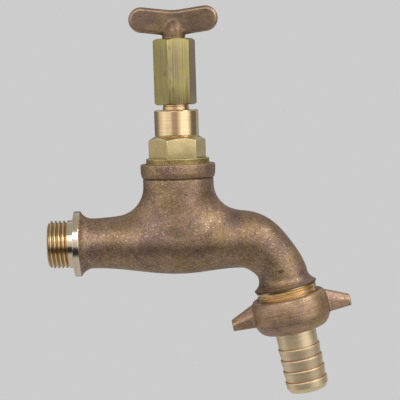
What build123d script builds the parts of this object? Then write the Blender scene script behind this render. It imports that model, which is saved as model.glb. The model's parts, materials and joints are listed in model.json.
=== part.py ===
"""Brass and bronze hose bib with a loose T key and a winged hose union.

Row frame, millimetres: the origin is where the inlet axis meets the wall shoulder,
+X runs along the inlet axis towards the spout, +Z is up.  The valve axis is vertical
at VALVE_X, and the outlet axis leans by OUTLET_TILT from straight down.
"""

from build123d import *
import math
import os

# ---- clearances ----
THREAD_GAP = 0.10  # radial, between a male and a female thread, both made as plain cylinders
RUN_GAP = 0.10  # radial, round a turning or sliding shaft
SOCKET_GAP = 0.10  # each side, between the spindle's square and the key
END_GAP = 0.80  # axial room at the end of a travel

# ---- pipe threads (G series, parallel) ----
INLET_THREAD_R = 20.955 / 2  # G 1/2
OUTLET_THREAD_R = 26.441 / 2  # G 3/4
PIPE_PITCH = 1.814
THREAD_CHAMFER = 0.9

# ---- body casting ----
SPIGOT_LENGTH = 11.3
FLANGE_R = 14.25
FLANGE_THICKNESS = 2.8
FLARE_LENGTH = 5.2
INLET_TUBE_R = 10.95
VALVE_X = 46.2
BELLY_R = 14.45
BELLY_MARGIN = 0.45
BEND_START_X = 71.8
BEND_RADIUS = 19.2
BEND_START_R = 12.6
BEND_SAG = 1.1
BEND_WAIST = 0.4
OUTLET_TILT = 11.0
NOZZLE_R = 10.85
NOZZLE_LENGTH = 6.1
NOZZLE_FLARE = 4.6
LIP_R = 13.8
LIP_THICKNESS = 0.8
OUTLET_SPIGOT_LENGTH = 12.0
NECK_R = 15.4
NECK_BLEND_R = 13.0
COLLAR_R = 16.4
COLLAR_FOOT_R = 15.9
COLLAR_HEIGHT = 5.9
COLLAR_TOP_Z = 33.9
INLET_BORE_R = 7.0
DIP_START_X = 19.5
PASSAGE_R = 4.6
POCKET_DEPTH = 2.8
SPOUT_BORE_R = 7.8
CHAMBER_R = 11.3
CHAMBER_BEVEL = 1.8
SEAT_BORE_R = 6.5
SEAT_RIM = 1.7
SEAT_HEIGHT = 1.2
SEAT_Z = 3.2
FLOOR_WALL = 2.6

# ---- bonnet and its gasket ----
BONNET_THREAD_R = 12.0
BONNET_THREAD_LENGTH = 9.4
THREAD_RELIEF = 0.5
BONNET_FLANGE_R = 13.8
BONNET_FLANGE_THICKNESS = 2.4
BONNET_HEX = 22.0
BONNET_HEX_HEIGHT = 9.6
BONNET_HEX_TURN = 11.0
HEX_CHAMFER_ANGLE = 30.0
SNOUT_R = 10.2
GASKET_THICKNESS = 1.0
GASKET_WIDTH = 2.1

# ---- stuffing box ----
PACKING_R = 7.5
PACKING_RING_THICKNESS = 1.4
PACKING_RINGS = 3
BASE_WASHER_THICKNESS = 0.8
FOLLOWER_THICKNESS = 1.2
BOX_FLOOR_THICKNESS = 2.0
GLAND_THREAD_R = 8.0
GUARD_R = 9.6
GUARD_HEIGHT = 11.4
GUARD_EDGE = 0.5

# ---- spindle and valve disc ----
SHANK_R = 4.75
SPINDLE_THREAD_R = 6.5
SPINDLE_FOOT_R = 5.6
SPINDLE_PITCH = 2.0
SPINDLE_TURNS = 3.0
SQUARE = 6.5
SQUARE_LENGTH = 9.2
SQUARE_ABOVE_HEX = 1.1
DISC_R = 8.3
DISC_THICKNESS = 2.0
DISC_STEM_R = 2.5
DISC_STEM_LENGTH = 9.3
STUD_R = 2.0
SEAT_WASHER_R = 7.9
SEAT_WASHER_THICKNESS = 3.0
PLATE_R = 4.6
PLATE_THICKNESS = 0.8
DISC_NUT_HEX = 6.5
DISC_NUT_THICKNESS = 2.2
STUD_END = 0.6
SNAP_RING_THICKNESS = 0.6
SNAP_RING_WIDTH = 0.8
SNAP_RING_DROP = 1.9
SNAP_RING_GROOVE = 1.0
SNAP_RING_SLOT = 1.2

# ---- loose key ----
KEY_NOSE_R = 5.7
KEY_GAP_ABOVE_GUARD = 2.2
KEY_HEX = 16.3
KEY_HEX_LENGTH = 28.4
KEY_HEX_TURN = 13.0
KEY_EDGE_R = 0.4
KEY_END_CHAMFER_ANGLE = 25.0
HANDLE_STEM_R = 5.0
HANDLE_TANG_R = 4.0
HANDLE_TANG_LENGTH = 16.0
HANDLE_STEM_SHOWN = 1.3
HANDLE_ARM_HEIGHT = 10.85
HANDLE_ARM_REACH = 14.0
HANDLE_ARM_RISE = 7.5
HANDLE_THICKNESS = 6.0
HANDLE_EDGE_R = 1.0
HANDLE_RIB_HEIGHT = 8.0
HANDLE_TURN = 0.0
KEY_TRAVEL = 20.0

# ---- hose union ----
NUT_TOP = 3.9  # below the spout's lip, along the outlet axis
NUT_TOP_R = 15.0
NUT_BELLY_R = 17.1
NUT_BELLY_LENGTH = 6.9
NUT_BELLY_FLAT = 1.6
NUT_FLOOR = 3.0
NUT_FOOT_R = 11.6
WING_TIP_R = 26.6
WING_ROOT_TOP = 0.9
WING_ROOT_HEIGHT = 10.2
WING_TIP_TOP = 5.4
WING_TIP_HEIGHT = 4.9
WING_ROOT_WIDTH = 8.0
WING_TIP_WIDTH = 5.0
WING_RIDGE_SHARE = 0.42
WING_TOP_SHARE = 0.35
WING_TURN = 0.0
HOSE_WASHER_THICKNESS = 2.5
TAIL_FLANGE_THICKNESS = 2.0
TAIL_FLANGE_GAP = 0.6
TAIL_R = 9.2
TAIL_ROOT_R = 8.8
BARB_R = 9.35
BARB_PITCH = 4.95
BARBS = 4
TAIL_PLAIN_LENGTH = 10.5
TAIL_TIP_R = 8.1
TAIL_TIP_LENGTH = 2.3
TAIL_BORE_R = 6.9
NUT_HOLE_GAP = 0.25
UNION_TURNS = 5.0

# ---- levels along the valve axis ----
LIFT = SPINDLE_PITCH * SPINDLE_TURNS
COLLAR_BOTTOM_Z = COLLAR_TOP_Z - COLLAR_HEIGHT
FLOOR_Z = SEAT_Z - SEAT_HEIGHT
HEX_BOTTOM_Z = COLLAR_TOP_Z + BONNET_FLANGE_THICKNESS
HEX_TOP_Z = HEX_BOTTOM_Z + BONNET_HEX_HEIGHT
GUARD_TOP_Z = HEX_TOP_Z + GUARD_HEIGHT
WASHER_TOP_Z = SEAT_Z + SEAT_WASHER_THICKNESS
DISC_TOP_Z = WASHER_TOP_Z + DISC_THICKNESS
BONNET_BOTTOM_Z = DISC_TOP_Z + LIFT + END_GAP
SPINDLE_BORE_TOP_Z = COLLAR_TOP_Z - END_GAP
BOX_BOTTOM_Z = SPINDLE_BORE_TOP_Z + BOX_FLOOR_THICKNESS
RINGS_BOTTOM_Z = BOX_BOTTOM_Z + BASE_WASHER_THICKNESS
RINGS_TOP_Z = RINGS_BOTTOM_Z + PACKING_RINGS * PACKING_RING_THICKNESS
GLAND_BOTTOM_Z = RINGS_TOP_Z + FOLLOWER_THICKNESS
SHOULDER_Z = HEX_TOP_Z + SQUARE_ABOVE_HEX
SPINDLE_THREAD_TOP_Z = SPINDLE_BORE_TOP_Z - LIFT - 2 * END_GAP
STEM_TOP_Z = DISC_TOP_Z + DISC_STEM_LENGTH
KEY_SHOULDER_Z = GUARD_TOP_Z + KEY_GAP_ABOVE_GUARD
KEY_TOP_Z = KEY_SHOULDER_Z + KEY_HEX_LENGTH
HANDLE_BOTTOM_Z = KEY_TOP_Z + HANDLE_STEM_SHOWN

# ---- levels along the outlet axis, from the spout's lip ----
WASHER_T = OUTLET_SPIGOT_LENGTH
TAIL_T = WASHER_T + HOSE_WASHER_THICKNESS
NUT_SHOULDER_T = TAIL_T + TAIL_FLANGE_THICKNESS
NUT_END_T = NUT_SHOULDER_T + NUT_FLOOR
FIRST_BARB_T = NUT_SHOULDER_T + TAIL_PLAIN_LENGTH
TAIL_END_T = FIRST_BARB_T + BARBS * BARB_PITCH

TUBE_START_X = FLANGE_THICKNESS + FLARE_LENGTH
BEND_ANGLE = 90.0 - OUTLET_TILT
BEND_LENGTH = BEND_RADIUS * math.radians(BEND_ANGLE)
NOZZLE_START = BEND_START_X + BEND_LENGTH + NOZZLE_LENGTH - NOZZLE_FLARE
OUTLET_AXIS = Vector(math.sin(math.radians(OUTLET_TILT)), 0, -math.cos(math.radians(OUTLET_TILT)))
BEND_END = Vector(
    BEND_START_X + BEND_RADIUS * math.sin(math.radians(BEND_ANGLE)),
    0,
    -BEND_RADIUS * (1 - math.cos(math.radians(BEND_ANGLE))),
)
LIP_CENTRE = BEND_END + OUTLET_AXIS * NOZZLE_LENGTH
OUTLET = Plane(origin=LIP_CENTRE, x_dir=OUTLET_AXIS.cross(Vector(0, 1, 0)) * -1, z_dir=OUTLET_AXIS)
VALVE = Pos(VALVE_X, 0, 0)
INLET = Plane(origin=(0, 0, 0), x_dir=(0, 0, 1), z_dir=(1, 0, 0))


def turned(*points):
    """A solid turned about Z from a closed outline of (radius, height) points."""
    outline = Polyline(*[(r, 0, z) for r, z in points], close=True)
    return revolve(make_face(outline), Axis.Z)


def ring(outer, inner, bottom, top):
    """A flat ring about Z."""
    return turned((inner, bottom), (outer, bottom), (outer, top), (inner, top))


def rod(radius, bottom, top):
    """A plain cylinder about Z."""
    return Pos(0, 0, (bottom + top) / 2) * Cylinder(radius, top - bottom)


def chamfered_hex(across_flats, bottom, top, angle, bottom_too=False, face_r=None, edge_r=0.0):
    """A hexagon bar about Z with its corners turned off by a cone, at the top or both ends."""
    corner = across_flats / math.sqrt(3)
    face_r = across_flats / 2 if face_r is None else face_r
    drop = (corner - face_r) * math.tan(math.radians(angle))
    bar = extrude(Plane.XY.offset(bottom) * RegularPolygon(corner, 6), top - bottom)
    if edge_r:
        bar = fillet(bar.edges().filter_by(Axis.Z), edge_r)
    low = [(face_r, bottom), (corner, bottom + drop)] if bottom_too else [(corner, bottom)]
    return bar & turned((0, bottom), *low, (corner, top - drop), (face_r, top), (0, top))


def path_point(x):
    """Plane across the casting's centreline at distance x along it, with +y on its upper side."""
    turn = min(max(x - BEND_START_X, 0) / BEND_RADIUS, math.radians(BEND_ANGLE))
    ahead = Vector(math.cos(turn), 0, -math.sin(turn))
    arc = Vector(math.sin(turn), 0, math.cos(turn) - 1) * BEND_RADIUS
    start = Vector(min(x, BEND_START_X), 0, 0)
    rest = max(x - BEND_START_X - BEND_RADIUS * math.radians(BEND_ANGLE), 0)
    return Plane(origin=start + arc + ahead * rest, x_dir=(0, 1, 0), z_dir=ahead)


def swell(x):
    """How full the belly is at distance x: one under the valve, falling to none at both ends."""
    run = VALVE_X - TUBE_START_X if x < VALVE_X else BEND_START_X - VALVE_X
    return math.cos(min(abs(x - VALVE_X) / run, 1) * math.pi / 2) ** 2


def waist(x):
    """Share of the spout's thinning and sagging at distance x: none at the ends of the bend."""
    share = min(max(x - BEND_START_X, 0) / (NOZZLE_START - BEND_START_X), 1)
    return math.sin(math.pi * share**1.4) ** 2


def casting_section(x):
    """Section of the casting: an ellipse, a little wider than the neck under the valve."""
    end_r = INLET_TUBE_R if x < VALVE_X else BEND_START_R
    taper = math.sin(min(max(x - BEND_START_X, 0) / BEND_LENGTH, 1) * math.pi / 2) ** 2
    radius = end_r + (BELLY_R - end_r) * swell(x) - (BEND_START_R - NOZZLE_R) * taper
    radius -= BEND_WAIST * waist(x)
    spread = (NECK_R + BELLY_MARGIN - BELLY_R) * swell(x)
    return path_point(x) * Pos(0, -BEND_SAG * waist(x)) * Ellipse(radius + spread, radius)


def casting_shell():
    """Outside of the casting from the flange's flare to the spout's nozzle, with its neck."""
    inlet_side = [TUBE_START_X + (VALVE_X - TUBE_START_X) * n / 4 for n in range(4)]
    spout_side = [VALVE_X, (VALVE_X + BEND_START_X) / 2, BEND_START_X]
    bend = [BEND_START_X + BEND_LENGTH * n / 4 for n in range(1, 5)]
    tube = loft([casting_section(x) for x in [*inlet_side, *spout_side, *bend, NOZZLE_START]])
    joined = tube + VALVE * rod(NECK_R, 0, COLLAR_BOTTOM_Z)
    roots = [e for e in joined.edges() if 0 < e.bounding_box().min.Z < e.bounding_box().max.Z < BELLY_R]
    return fillet(roots, NECK_BLEND_R)


def make_body():
    """One bronze casting with machined spigots, shoulder, neck and seat, and its waterway."""
    inlet_outline = Polyline(
        (0, -SPIGOT_LENGTH),
        (INLET_THREAD_R - THREAD_CHAMFER, -SPIGOT_LENGTH),
        (INLET_THREAD_R, -SPIGOT_LENGTH + THREAD_CHAMFER),
        (INLET_THREAD_R, 0),
        (FLANGE_R, 0),
        (FLANGE_R, FLANGE_THICKNESS),
    )
    flare = ThreePointArc(
        (FLANGE_R, FLANGE_THICKNESS),
        (INLET_TUBE_R + 0.30 * (FLANGE_R - INLET_TUBE_R), FLANGE_THICKNESS + 0.42 * FLARE_LENGTH),
        (INLET_TUBE_R, TUBE_START_X),
    )
    close = Polyline((INLET_TUBE_R, TUBE_START_X), (0, TUBE_START_X), (0, -SPIGOT_LENGTH))
    inlet = revolve(Plane.XZ * make_face([*inlet_outline.edges(), flare.edge(), *close.edges()]), Axis.Z)
    inlet = INLET * inlet

    lip_start = -LIP_THICKNESS
    nozzle_flare = ThreePointArc(
        (NOZZLE_R, -NOZZLE_FLARE),
        (NOZZLE_R + 0.25 * (LIP_R - NOZZLE_R), -NOZZLE_FLARE + 0.55 * (NOZZLE_FLARE - LIP_THICKNESS)),
        (LIP_R, lip_start),
    )
    outlet_outline = Polyline(
        (LIP_R, lip_start),
        (LIP_R, 0),
        (OUTLET_THREAD_R, 0),
        (OUTLET_THREAD_R, OUTLET_SPIGOT_LENGTH - THREAD_CHAMFER),
        (OUTLET_THREAD_R - THREAD_CHAMFER, OUTLET_SPIGOT_LENGTH),
        (0, OUTLET_SPIGOT_LENGTH),
        (0, -NOZZLE_FLARE),
        (NOZZLE_R, -NOZZLE_FLARE),
    )
    outlet = revolve(Plane.XZ * make_face([nozzle_flare.edge(), *outlet_outline.edges()]), Axis.Z)
    outlet = OUTLET * outlet

    collar = VALVE * turned(
        (0, COLLAR_BOTTOM_Z),
        (COLLAR_FOOT_R, COLLAR_BOTTOM_Z),
        (COLLAR_R, COLLAR_BOTTOM_Z + COLLAR_HEIGHT * 0.4),
        (COLLAR_R, COLLAR_TOP_Z),
        (0, COLLAR_TOP_Z),
    )
    return casting_shell() + inlet + outlet + collar - waterway() + VALVE * seat_ring()


def seat_ring():
    """The raised valve seat round the hole in the dividing wall."""
    return ring(SEAT_BORE_R + SEAT_RIM, SEAT_BORE_R, FLOOR_Z - 1, SEAT_Z)


def waterway():
    """Inlet bore, dipping passage under the seat, chamber over it, and the spout's bore."""
    pocket_z = POCKET_DEPTH - BELLY_R + SEAT_BORE_R
    dip_start = Vector(DIP_START_X, 0, 0)
    dip_end = Vector(VALVE_X - SEAT_BORE_R / 3, 0, PASSAGE_R + FLOOR_WALL - BELLY_R)
    inlet_bore = INLET * rod(INLET_BORE_R, -SPIGOT_LENGTH, DIP_START_X)
    inlet_bore += INLET * turned(
        (0, DIP_START_X), (INLET_BORE_R, DIP_START_X), (0, DIP_START_X + INLET_BORE_R)
    )
    dip_run = dip_end - dip_start
    dip = Plane(origin=dip_start, z_dir=dip_run) * rod(PASSAGE_R, 0, dip_run.length)
    pocket = VALVE * turned(
        (0, pocket_z - SEAT_BORE_R),
        (SEAT_BORE_R * 0.6, pocket_z - SEAT_BORE_R),
        (SEAT_BORE_R, pocket_z - SEAT_BORE_R * 0.45),
        (SEAT_BORE_R, SEAT_Z),
        (0, SEAT_Z),
    )
    thread_bottom = COLLAR_TOP_Z - BONNET_THREAD_LENGTH - THREAD_RELIEF
    recess_r = BONNET_THREAD_R + GASKET_WIDTH + RUN_GAP
    chamber = VALVE * turned(
        (0, FLOOR_Z),
        (CHAMBER_R - CHAMBER_BEVEL, FLOOR_Z),
        (CHAMBER_R, FLOOR_Z + CHAMBER_BEVEL * 4 / 3),
        (CHAMBER_R, thread_bottom),
        (BONNET_THREAD_R, thread_bottom),
        (BONNET_THREAD_R, COLLAR_TOP_Z - GASKET_THICKNESS),
        (recess_r, COLLAR_TOP_Z - GASKET_THICKNESS),
        (recess_r, COLLAR_TOP_Z),
        (0, COLLAR_TOP_Z),
    )
    spout_start = VALVE_X + SEAT_BORE_R + FLOOR_WALL
    bend_end = tuple(BEND_END)
    mouth = tuple(LIP_CENTRE + OUTLET_AXIS * OUTLET_SPIGOT_LENGTH)
    bend_start = (BEND_START_X, 0, 0)
    bend_middle = tuple(path_point(BEND_START_X + BEND_LENGTH / 2).origin)
    path = Wire(
        [
            Line((spout_start, 0, 0), bend_start).edge(),
            ThreePointArc(bend_start, bend_middle, bend_end).edge(),
            Line(bend_end, mouth).edge(),
        ]
    )
    spout = sweep(Plane(origin=(spout_start, 0, 0), z_dir=(1, 0, 0)) * Circle(SPOUT_BORE_R), path)
    return inlet_bore + dip + pocket + chamber + spout


def make_bonnet():
    """Brass headwork: flange, spanner hexagon, neck thread, snout and stuffing box."""
    blank = (
        rod(SNOUT_R, BONNET_BOTTOM_Z, COLLAR_TOP_Z - BONNET_THREAD_LENGTH + THREAD_RELIEF)
        + rod(BONNET_THREAD_R - THREAD_GAP, COLLAR_TOP_Z - BONNET_THREAD_LENGTH + THREAD_RELIEF, COLLAR_TOP_Z)
        + rod(BONNET_FLANGE_R, COLLAR_TOP_Z, HEX_BOTTOM_Z)
    )
    head = chamfered_hex(BONNET_HEX, HEX_BOTTOM_Z, HEX_TOP_Z, HEX_CHAMFER_ANGLE, face_r=GUARD_R)
    bores = (
        rod(SPINDLE_THREAD_R + THREAD_GAP, BONNET_BOTTOM_Z, SPINDLE_BORE_TOP_Z)
        + rod(SHANK_R + RUN_GAP, SPINDLE_BORE_TOP_Z, BOX_BOTTOM_Z)
        + rod(PACKING_R, BOX_BOTTOM_Z, GLAND_BOTTOM_Z)
        + rod(GLAND_THREAD_R, RINGS_TOP_Z, HEX_TOP_Z)
    )
    return VALVE * (blank + Rot(0, 0, BONNET_HEX_TURN) * head - bores)


def make_gland_nut():
    """Round gland nut whose tall skirt guards the spindle's square."""
    profile = turned(
        (SHANK_R + RUN_GAP, GLAND_BOTTOM_Z),
        (GLAND_THREAD_R - THREAD_GAP, GLAND_BOTTOM_Z),
        (GLAND_THREAD_R - THREAD_GAP, HEX_TOP_Z),
        (GUARD_R, HEX_TOP_Z),
        (GUARD_R, GUARD_TOP_Z - GUARD_EDGE),
        (GUARD_R - GUARD_EDGE, GUARD_TOP_Z),
        (KEY_NOSE_R + 3 * RUN_GAP, GUARD_TOP_Z),
        (KEY_NOSE_R + 3 * RUN_GAP, SHOULDER_Z - RUN_GAP),
        (SHANK_R + RUN_GAP, SHOULDER_Z - RUN_GAP),
    )
    return VALVE * profile


def make_spindle():
    """Screwed spindle with a driving square, bored below for the valve disc's stem."""
    foot_top = BONNET_BOTTOM_Z - 1.0
    groove_z = STEM_TOP_Z - SNAP_RING_DROP
    shaft = (
        rod(SPINDLE_FOOT_R, DISC_TOP_Z, foot_top)
        + rod(SPINDLE_THREAD_R, foot_top, SPINDLE_THREAD_TOP_Z)
        + rod(SHANK_R, SPINDLE_THREAD_TOP_Z, SHOULDER_Z)
    )
    square = extrude(Plane.XY.offset(SHOULDER_Z) * Rectangle(SQUARE, SQUARE), SQUARE_LENGTH)
    square = chamfer(square.faces().sort_by(Axis.Z)[-1].edges(), 0.6)
    socket = rod(DISC_STEM_R + RUN_GAP, DISC_TOP_Z, STEM_TOP_Z + END_GAP)
    socket += rod(
        DISC_STEM_R + SNAP_RING_WIDTH - RUN_GAP * 2, groove_z - END_GAP / 2, groove_z + SNAP_RING_GROOVE
    )
    return VALVE * (shaft + square - socket)


def make_valve_disc():
    """Jumper: a disc with a grooved stem above and a threaded stud below."""
    groove_z = STEM_TOP_Z - SNAP_RING_DROP
    disc = rod(DISC_R, WASHER_TOP_Z, DISC_TOP_Z) + rod(DISC_STEM_R, DISC_TOP_Z, STEM_TOP_Z)
    stud_bottom = SEAT_Z - PLATE_THICKNESS - DISC_NUT_THICKNESS - STUD_END
    disc += rod(STUD_R, stud_bottom, WASHER_TOP_Z)
    groove = ring(DISC_STEM_R + 1, DISC_STEM_R - 0.4, groove_z - 0.2, groove_z + SNAP_RING_THICKNESS + 0.2)
    return VALVE * (disc - groove)


def make_snap_ring():
    """Open wire ring that keeps the disc's stem in the spindle."""
    bottom = STEM_TOP_Z - SNAP_RING_DROP
    inner = DISC_STEM_R - 0.3
    whole = ring(inner + SNAP_RING_WIDTH, inner, bottom, bottom + SNAP_RING_THICKNESS)
    slot = Pos(DISC_STEM_R, 0, bottom) * Box(4, SNAP_RING_SLOT, 4)
    return VALVE * (whole - slot)


def make_disc_nut():
    """Small hexagon nut under the seat washer."""
    top = SEAT_Z - PLATE_THICKNESS
    nut = chamfered_hex(DISC_NUT_HEX, top - DISC_NUT_THICKNESS, top, HEX_CHAMFER_ANGLE)
    return VALVE * (nut - rod(STUD_R + THREAD_GAP, top - DISC_NUT_THICKNESS, top))


def make_key_socket():
    """Hexagon bar of the key, turned down to a nose with a square hole."""
    bar = chamfered_hex(
        KEY_HEX, KEY_SHOULDER_Z, KEY_TOP_Z, KEY_END_CHAMFER_ANGLE, bottom_too=True, edge_r=KEY_EDGE_R
    )
    nose = turned(
        (0, SHOULDER_Z),
        (KEY_NOSE_R - 0.4, SHOULDER_Z),
        (KEY_NOSE_R, SHOULDER_Z + 0.4),
        (KEY_NOSE_R, KEY_SHOULDER_Z),
        (0, KEY_SHOULDER_Z),
    )
    side = SQUARE + 2 * SOCKET_GAP
    square = extrude(Plane.XY.offset(SHOULDER_Z) * Rectangle(side, side), SQUARE_LENGTH + END_GAP)
    tang_hole = rod(HANDLE_TANG_R, KEY_TOP_Z - HANDLE_TANG_LENGTH, KEY_TOP_Z)
    return VALVE * (Rot(0, 0, KEY_HEX_TURN) * bar + nose - square - tang_hole)


def make_key_handle():
    """Cast T handle: two rounded arms that rise outwards, a ribbed stem and a pressed tang."""
    half = HANDLE_ARM_HEIGHT / 2
    middle_z = HANDLE_BOTTOM_Z + half
    arms = Sketch()
    for side in (-1, 1):
        reach = side * HANDLE_ARM_REACH
        slot = SlotCenterPoint((reach / 2, 0), (reach, 0), HANDLE_ARM_HEIGHT)
        arms += Rot(0, 0, side * HANDLE_ARM_RISE) * slot
    plate = extrude(Plane.XZ * (Pos(0, middle_z) * arms), HANDLE_THICKNESS / 2, both=True)
    plate = fillet(plate.faces().filter_by(Axis.Y).edges(), HANDLE_EDGE_R)
    rib_top = HANDLE_BOTTOM_Z + HANDLE_RIB_HEIGHT
    rib = ThreePointArc(
        (HANDLE_STEM_R, HANDLE_BOTTOM_Z),
        (HANDLE_STEM_R * 0.72, HANDLE_BOTTOM_Z + HANDLE_RIB_HEIGHT * 0.62),
        (HANDLE_STEM_R * 0.2, rib_top),
    )
    sides = Polyline(
        (HANDLE_STEM_R * 0.2, rib_top),
        (0, rib_top),
        (0, KEY_TOP_Z - HANDLE_TANG_LENGTH),
        (HANDLE_TANG_R, KEY_TOP_Z - HANDLE_TANG_LENGTH),
        (HANDLE_TANG_R, KEY_TOP_Z),
        (HANDLE_STEM_R, KEY_TOP_Z),
        (HANDLE_STEM_R, HANDLE_BOTTOM_Z),
    )
    stem = revolve(Plane.XZ * make_face([rib.edge(), *sides.edges()]), Axis.Z)
    return VALVE * Rot(0, 0, HANDLE_TURN) * (plate + stem)


def wing_section(radius, top, height, width):
    """Six-sided section of a wing: a narrow crest, a wide ridge and an upright lower face."""
    ridge = top + height * WING_RIDGE_SHARE
    crest = width * WING_TOP_SHARE / 2
    half = width / 2
    points = [(-crest, top), (crest, top), (half, ridge), (half * 0.94, top + height)]
    points += [(-half * 0.94, top + height), (-half, ridge)]
    return Plane(origin=(radius, 0, 0), x_dir=(0, 1, 0), z_dir=(1, 0, 0)) * make_face(
        Polyline(*points, close=True)
    )


def make_wing_nut():
    """Cast union nut: barrel body, inner shoulder for the tail's flange, and two wings."""
    belly_t = NUT_TOP + NUT_BELLY_LENGTH
    flat_t = belly_t + NUT_BELLY_FLAT
    shoulder_arc = ThreePointArc(
        (NUT_TOP_R, NUT_TOP),
        (NUT_TOP_R + 0.76 * (NUT_BELLY_R - NUT_TOP_R), NUT_TOP + 0.42 * NUT_BELLY_LENGTH),
        (NUT_BELLY_R, belly_t),
    )
    foot_arc = ThreePointArc(
        (NUT_BELLY_R, flat_t),
        (NUT_FOOT_R + 0.72 * (NUT_BELLY_R - NUT_FOOT_R), flat_t + 0.68 * (NUT_END_T - flat_t)),
        (NUT_FOOT_R, NUT_END_T),
    )
    flat = Line((NUT_BELLY_R, belly_t), (NUT_BELLY_R, flat_t))
    close = Polyline((NUT_FOOT_R, NUT_END_T), (0, NUT_END_T), (0, NUT_TOP), (NUT_TOP_R, NUT_TOP))
    outline = make_face([shoulder_arc.edge(), flat.edge(), foot_arc.edge(), *close.edges()])
    barrel = revolve(Plane.XZ * outline, Axis.Z)
    root_r = (NUT_BELLY_R + OUTLET_THREAD_R) / 2
    root = wing_section(root_r, NUT_TOP + WING_ROOT_TOP, WING_ROOT_HEIGHT, WING_ROOT_WIDTH)
    tip = wing_section(WING_TIP_R, NUT_TOP + WING_TIP_TOP, WING_TIP_HEIGHT, WING_TIP_WIDTH)
    wing = loft([root, tip], ruled=True)
    wings = wing + Rot(0, 0, 180) * wing
    bores = rod(OUTLET_THREAD_R + THREAD_GAP, NUT_TOP, NUT_SHOULDER_T)
    bores += rod(BARB_R + NUT_HOLE_GAP, NUT_SHOULDER_T, NUT_END_T)
    return OUTLET * (barrel + Rot(0, 0, WING_TURN) * wings - bores)


def make_hose_tail():
    """Hose tail: a flange held by the nut, a plain neck and stepped barbs, bored through."""
    flange_r = OUTLET_THREAD_R - TAIL_FLANGE_GAP
    points = [(TAIL_BORE_R, TAIL_T), (flange_r, TAIL_T)]
    points += [(flange_r, NUT_SHOULDER_T), (TAIL_R, NUT_SHOULDER_T)]
    points += [(TAIL_R, NUT_END_T), (TAIL_ROOT_R, FIRST_BARB_T)]
    for n in range(BARBS):
        step = FIRST_BARB_T + n * BARB_PITCH
        points.append((BARB_R, step))
        if n < BARBS - 1:
            points.append((TAIL_ROOT_R, step + BARB_PITCH))
    points += [(BARB_R, TAIL_END_T - TAIL_TIP_LENGTH), (TAIL_TIP_R, TAIL_END_T), (TAIL_BORE_R, TAIL_END_T)]
    return OUTLET * turned(*points)


def make_parts():
    """Every separate piece of the bib, by node name."""
    shank_bore = SHANK_R + RUN_GAP
    parts = {
        "body": make_body(),
        "bonnet": make_bonnet(),
        "bonnet_gasket": VALVE
        * ring(
            BONNET_THREAD_R + GASKET_WIDTH,
            BONNET_THREAD_R,
            COLLAR_TOP_Z - GASKET_THICKNESS,
            COLLAR_TOP_Z,
        ),
        "packing_base_washer": VALVE * ring(PACKING_R, shank_bore, BOX_BOTTOM_Z, RINGS_BOTTOM_Z),
        "gland_follower": VALVE * ring(PACKING_R, shank_bore, RINGS_TOP_Z, GLAND_BOTTOM_Z),
        "gland_nut": make_gland_nut(),
        "spindle": make_spindle(),
        "valve_disc": make_valve_disc(),
        "disc_snap_ring": make_snap_ring(),
        "seat_washer": VALVE * ring(SEAT_WASHER_R, STUD_R + THREAD_GAP, SEAT_Z, WASHER_TOP_Z),
        "washer_plate": VALVE * ring(PLATE_R, STUD_R + THREAD_GAP, SEAT_Z - PLATE_THICKNESS, SEAT_Z),
        "disc_nut": make_disc_nut(),
        "key_socket": make_key_socket(),
        "key_handle": make_key_handle(),
        "wing_nut": make_wing_nut(),
        "hose_washer": OUTLET
        * ring(OUTLET_THREAD_R - TAIL_FLANGE_GAP, SPOUT_BORE_R, WASHER_T, TAIL_T),
        "hose_tail": make_hose_tail(),
    }
    for n in range(PACKING_RINGS):
        bottom = RINGS_BOTTOM_Z + n * PACKING_RING_THICKNESS
        parts[f"packing_ring_{n + 1}"] = VALVE * ring(
            PACKING_R, shank_bore, bottom, bottom + PACKING_RING_THICKNESS
        )
    return parts


os.makedirs("parts", exist_ok=True)
for name, shape in make_parts().items():
    export_step(shape, f"parts/{name}.step")
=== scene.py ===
"""Garden bib tap in cast bronze and brass, with a loose T key and a winged hose union.

Lengths in the functions below are millimetres in the tap's own frame: the wall shoulder's
centre is the origin, +X runs to the spout and +Z up.  Meshes are written in metres.
"""

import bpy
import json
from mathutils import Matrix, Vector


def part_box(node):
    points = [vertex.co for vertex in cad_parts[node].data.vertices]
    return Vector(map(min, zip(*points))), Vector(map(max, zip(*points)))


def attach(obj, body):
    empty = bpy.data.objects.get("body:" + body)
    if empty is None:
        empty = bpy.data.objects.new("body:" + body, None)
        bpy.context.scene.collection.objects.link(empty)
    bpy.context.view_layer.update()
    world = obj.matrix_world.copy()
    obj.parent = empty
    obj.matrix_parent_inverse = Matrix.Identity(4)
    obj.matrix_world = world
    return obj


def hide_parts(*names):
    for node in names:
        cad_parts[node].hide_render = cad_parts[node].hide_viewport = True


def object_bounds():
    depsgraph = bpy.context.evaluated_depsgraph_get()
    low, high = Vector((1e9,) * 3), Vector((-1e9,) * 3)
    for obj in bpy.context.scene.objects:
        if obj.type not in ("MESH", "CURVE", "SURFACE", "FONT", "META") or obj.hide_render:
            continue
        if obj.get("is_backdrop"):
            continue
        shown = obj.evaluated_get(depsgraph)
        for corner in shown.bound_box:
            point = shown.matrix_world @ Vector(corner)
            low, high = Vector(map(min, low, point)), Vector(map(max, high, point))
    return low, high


bl_info = {
    "name": "Bronze Bib Tap",
    "version": (1, 0, 0),
    "blender": (4, 5, 0),
    "location": "3D View > Sidebar > Bib Tap",
    "description": "Builds a cast bronze bib tap with a loose key and a hose union",
    "category": "Add Mesh",
}

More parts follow.
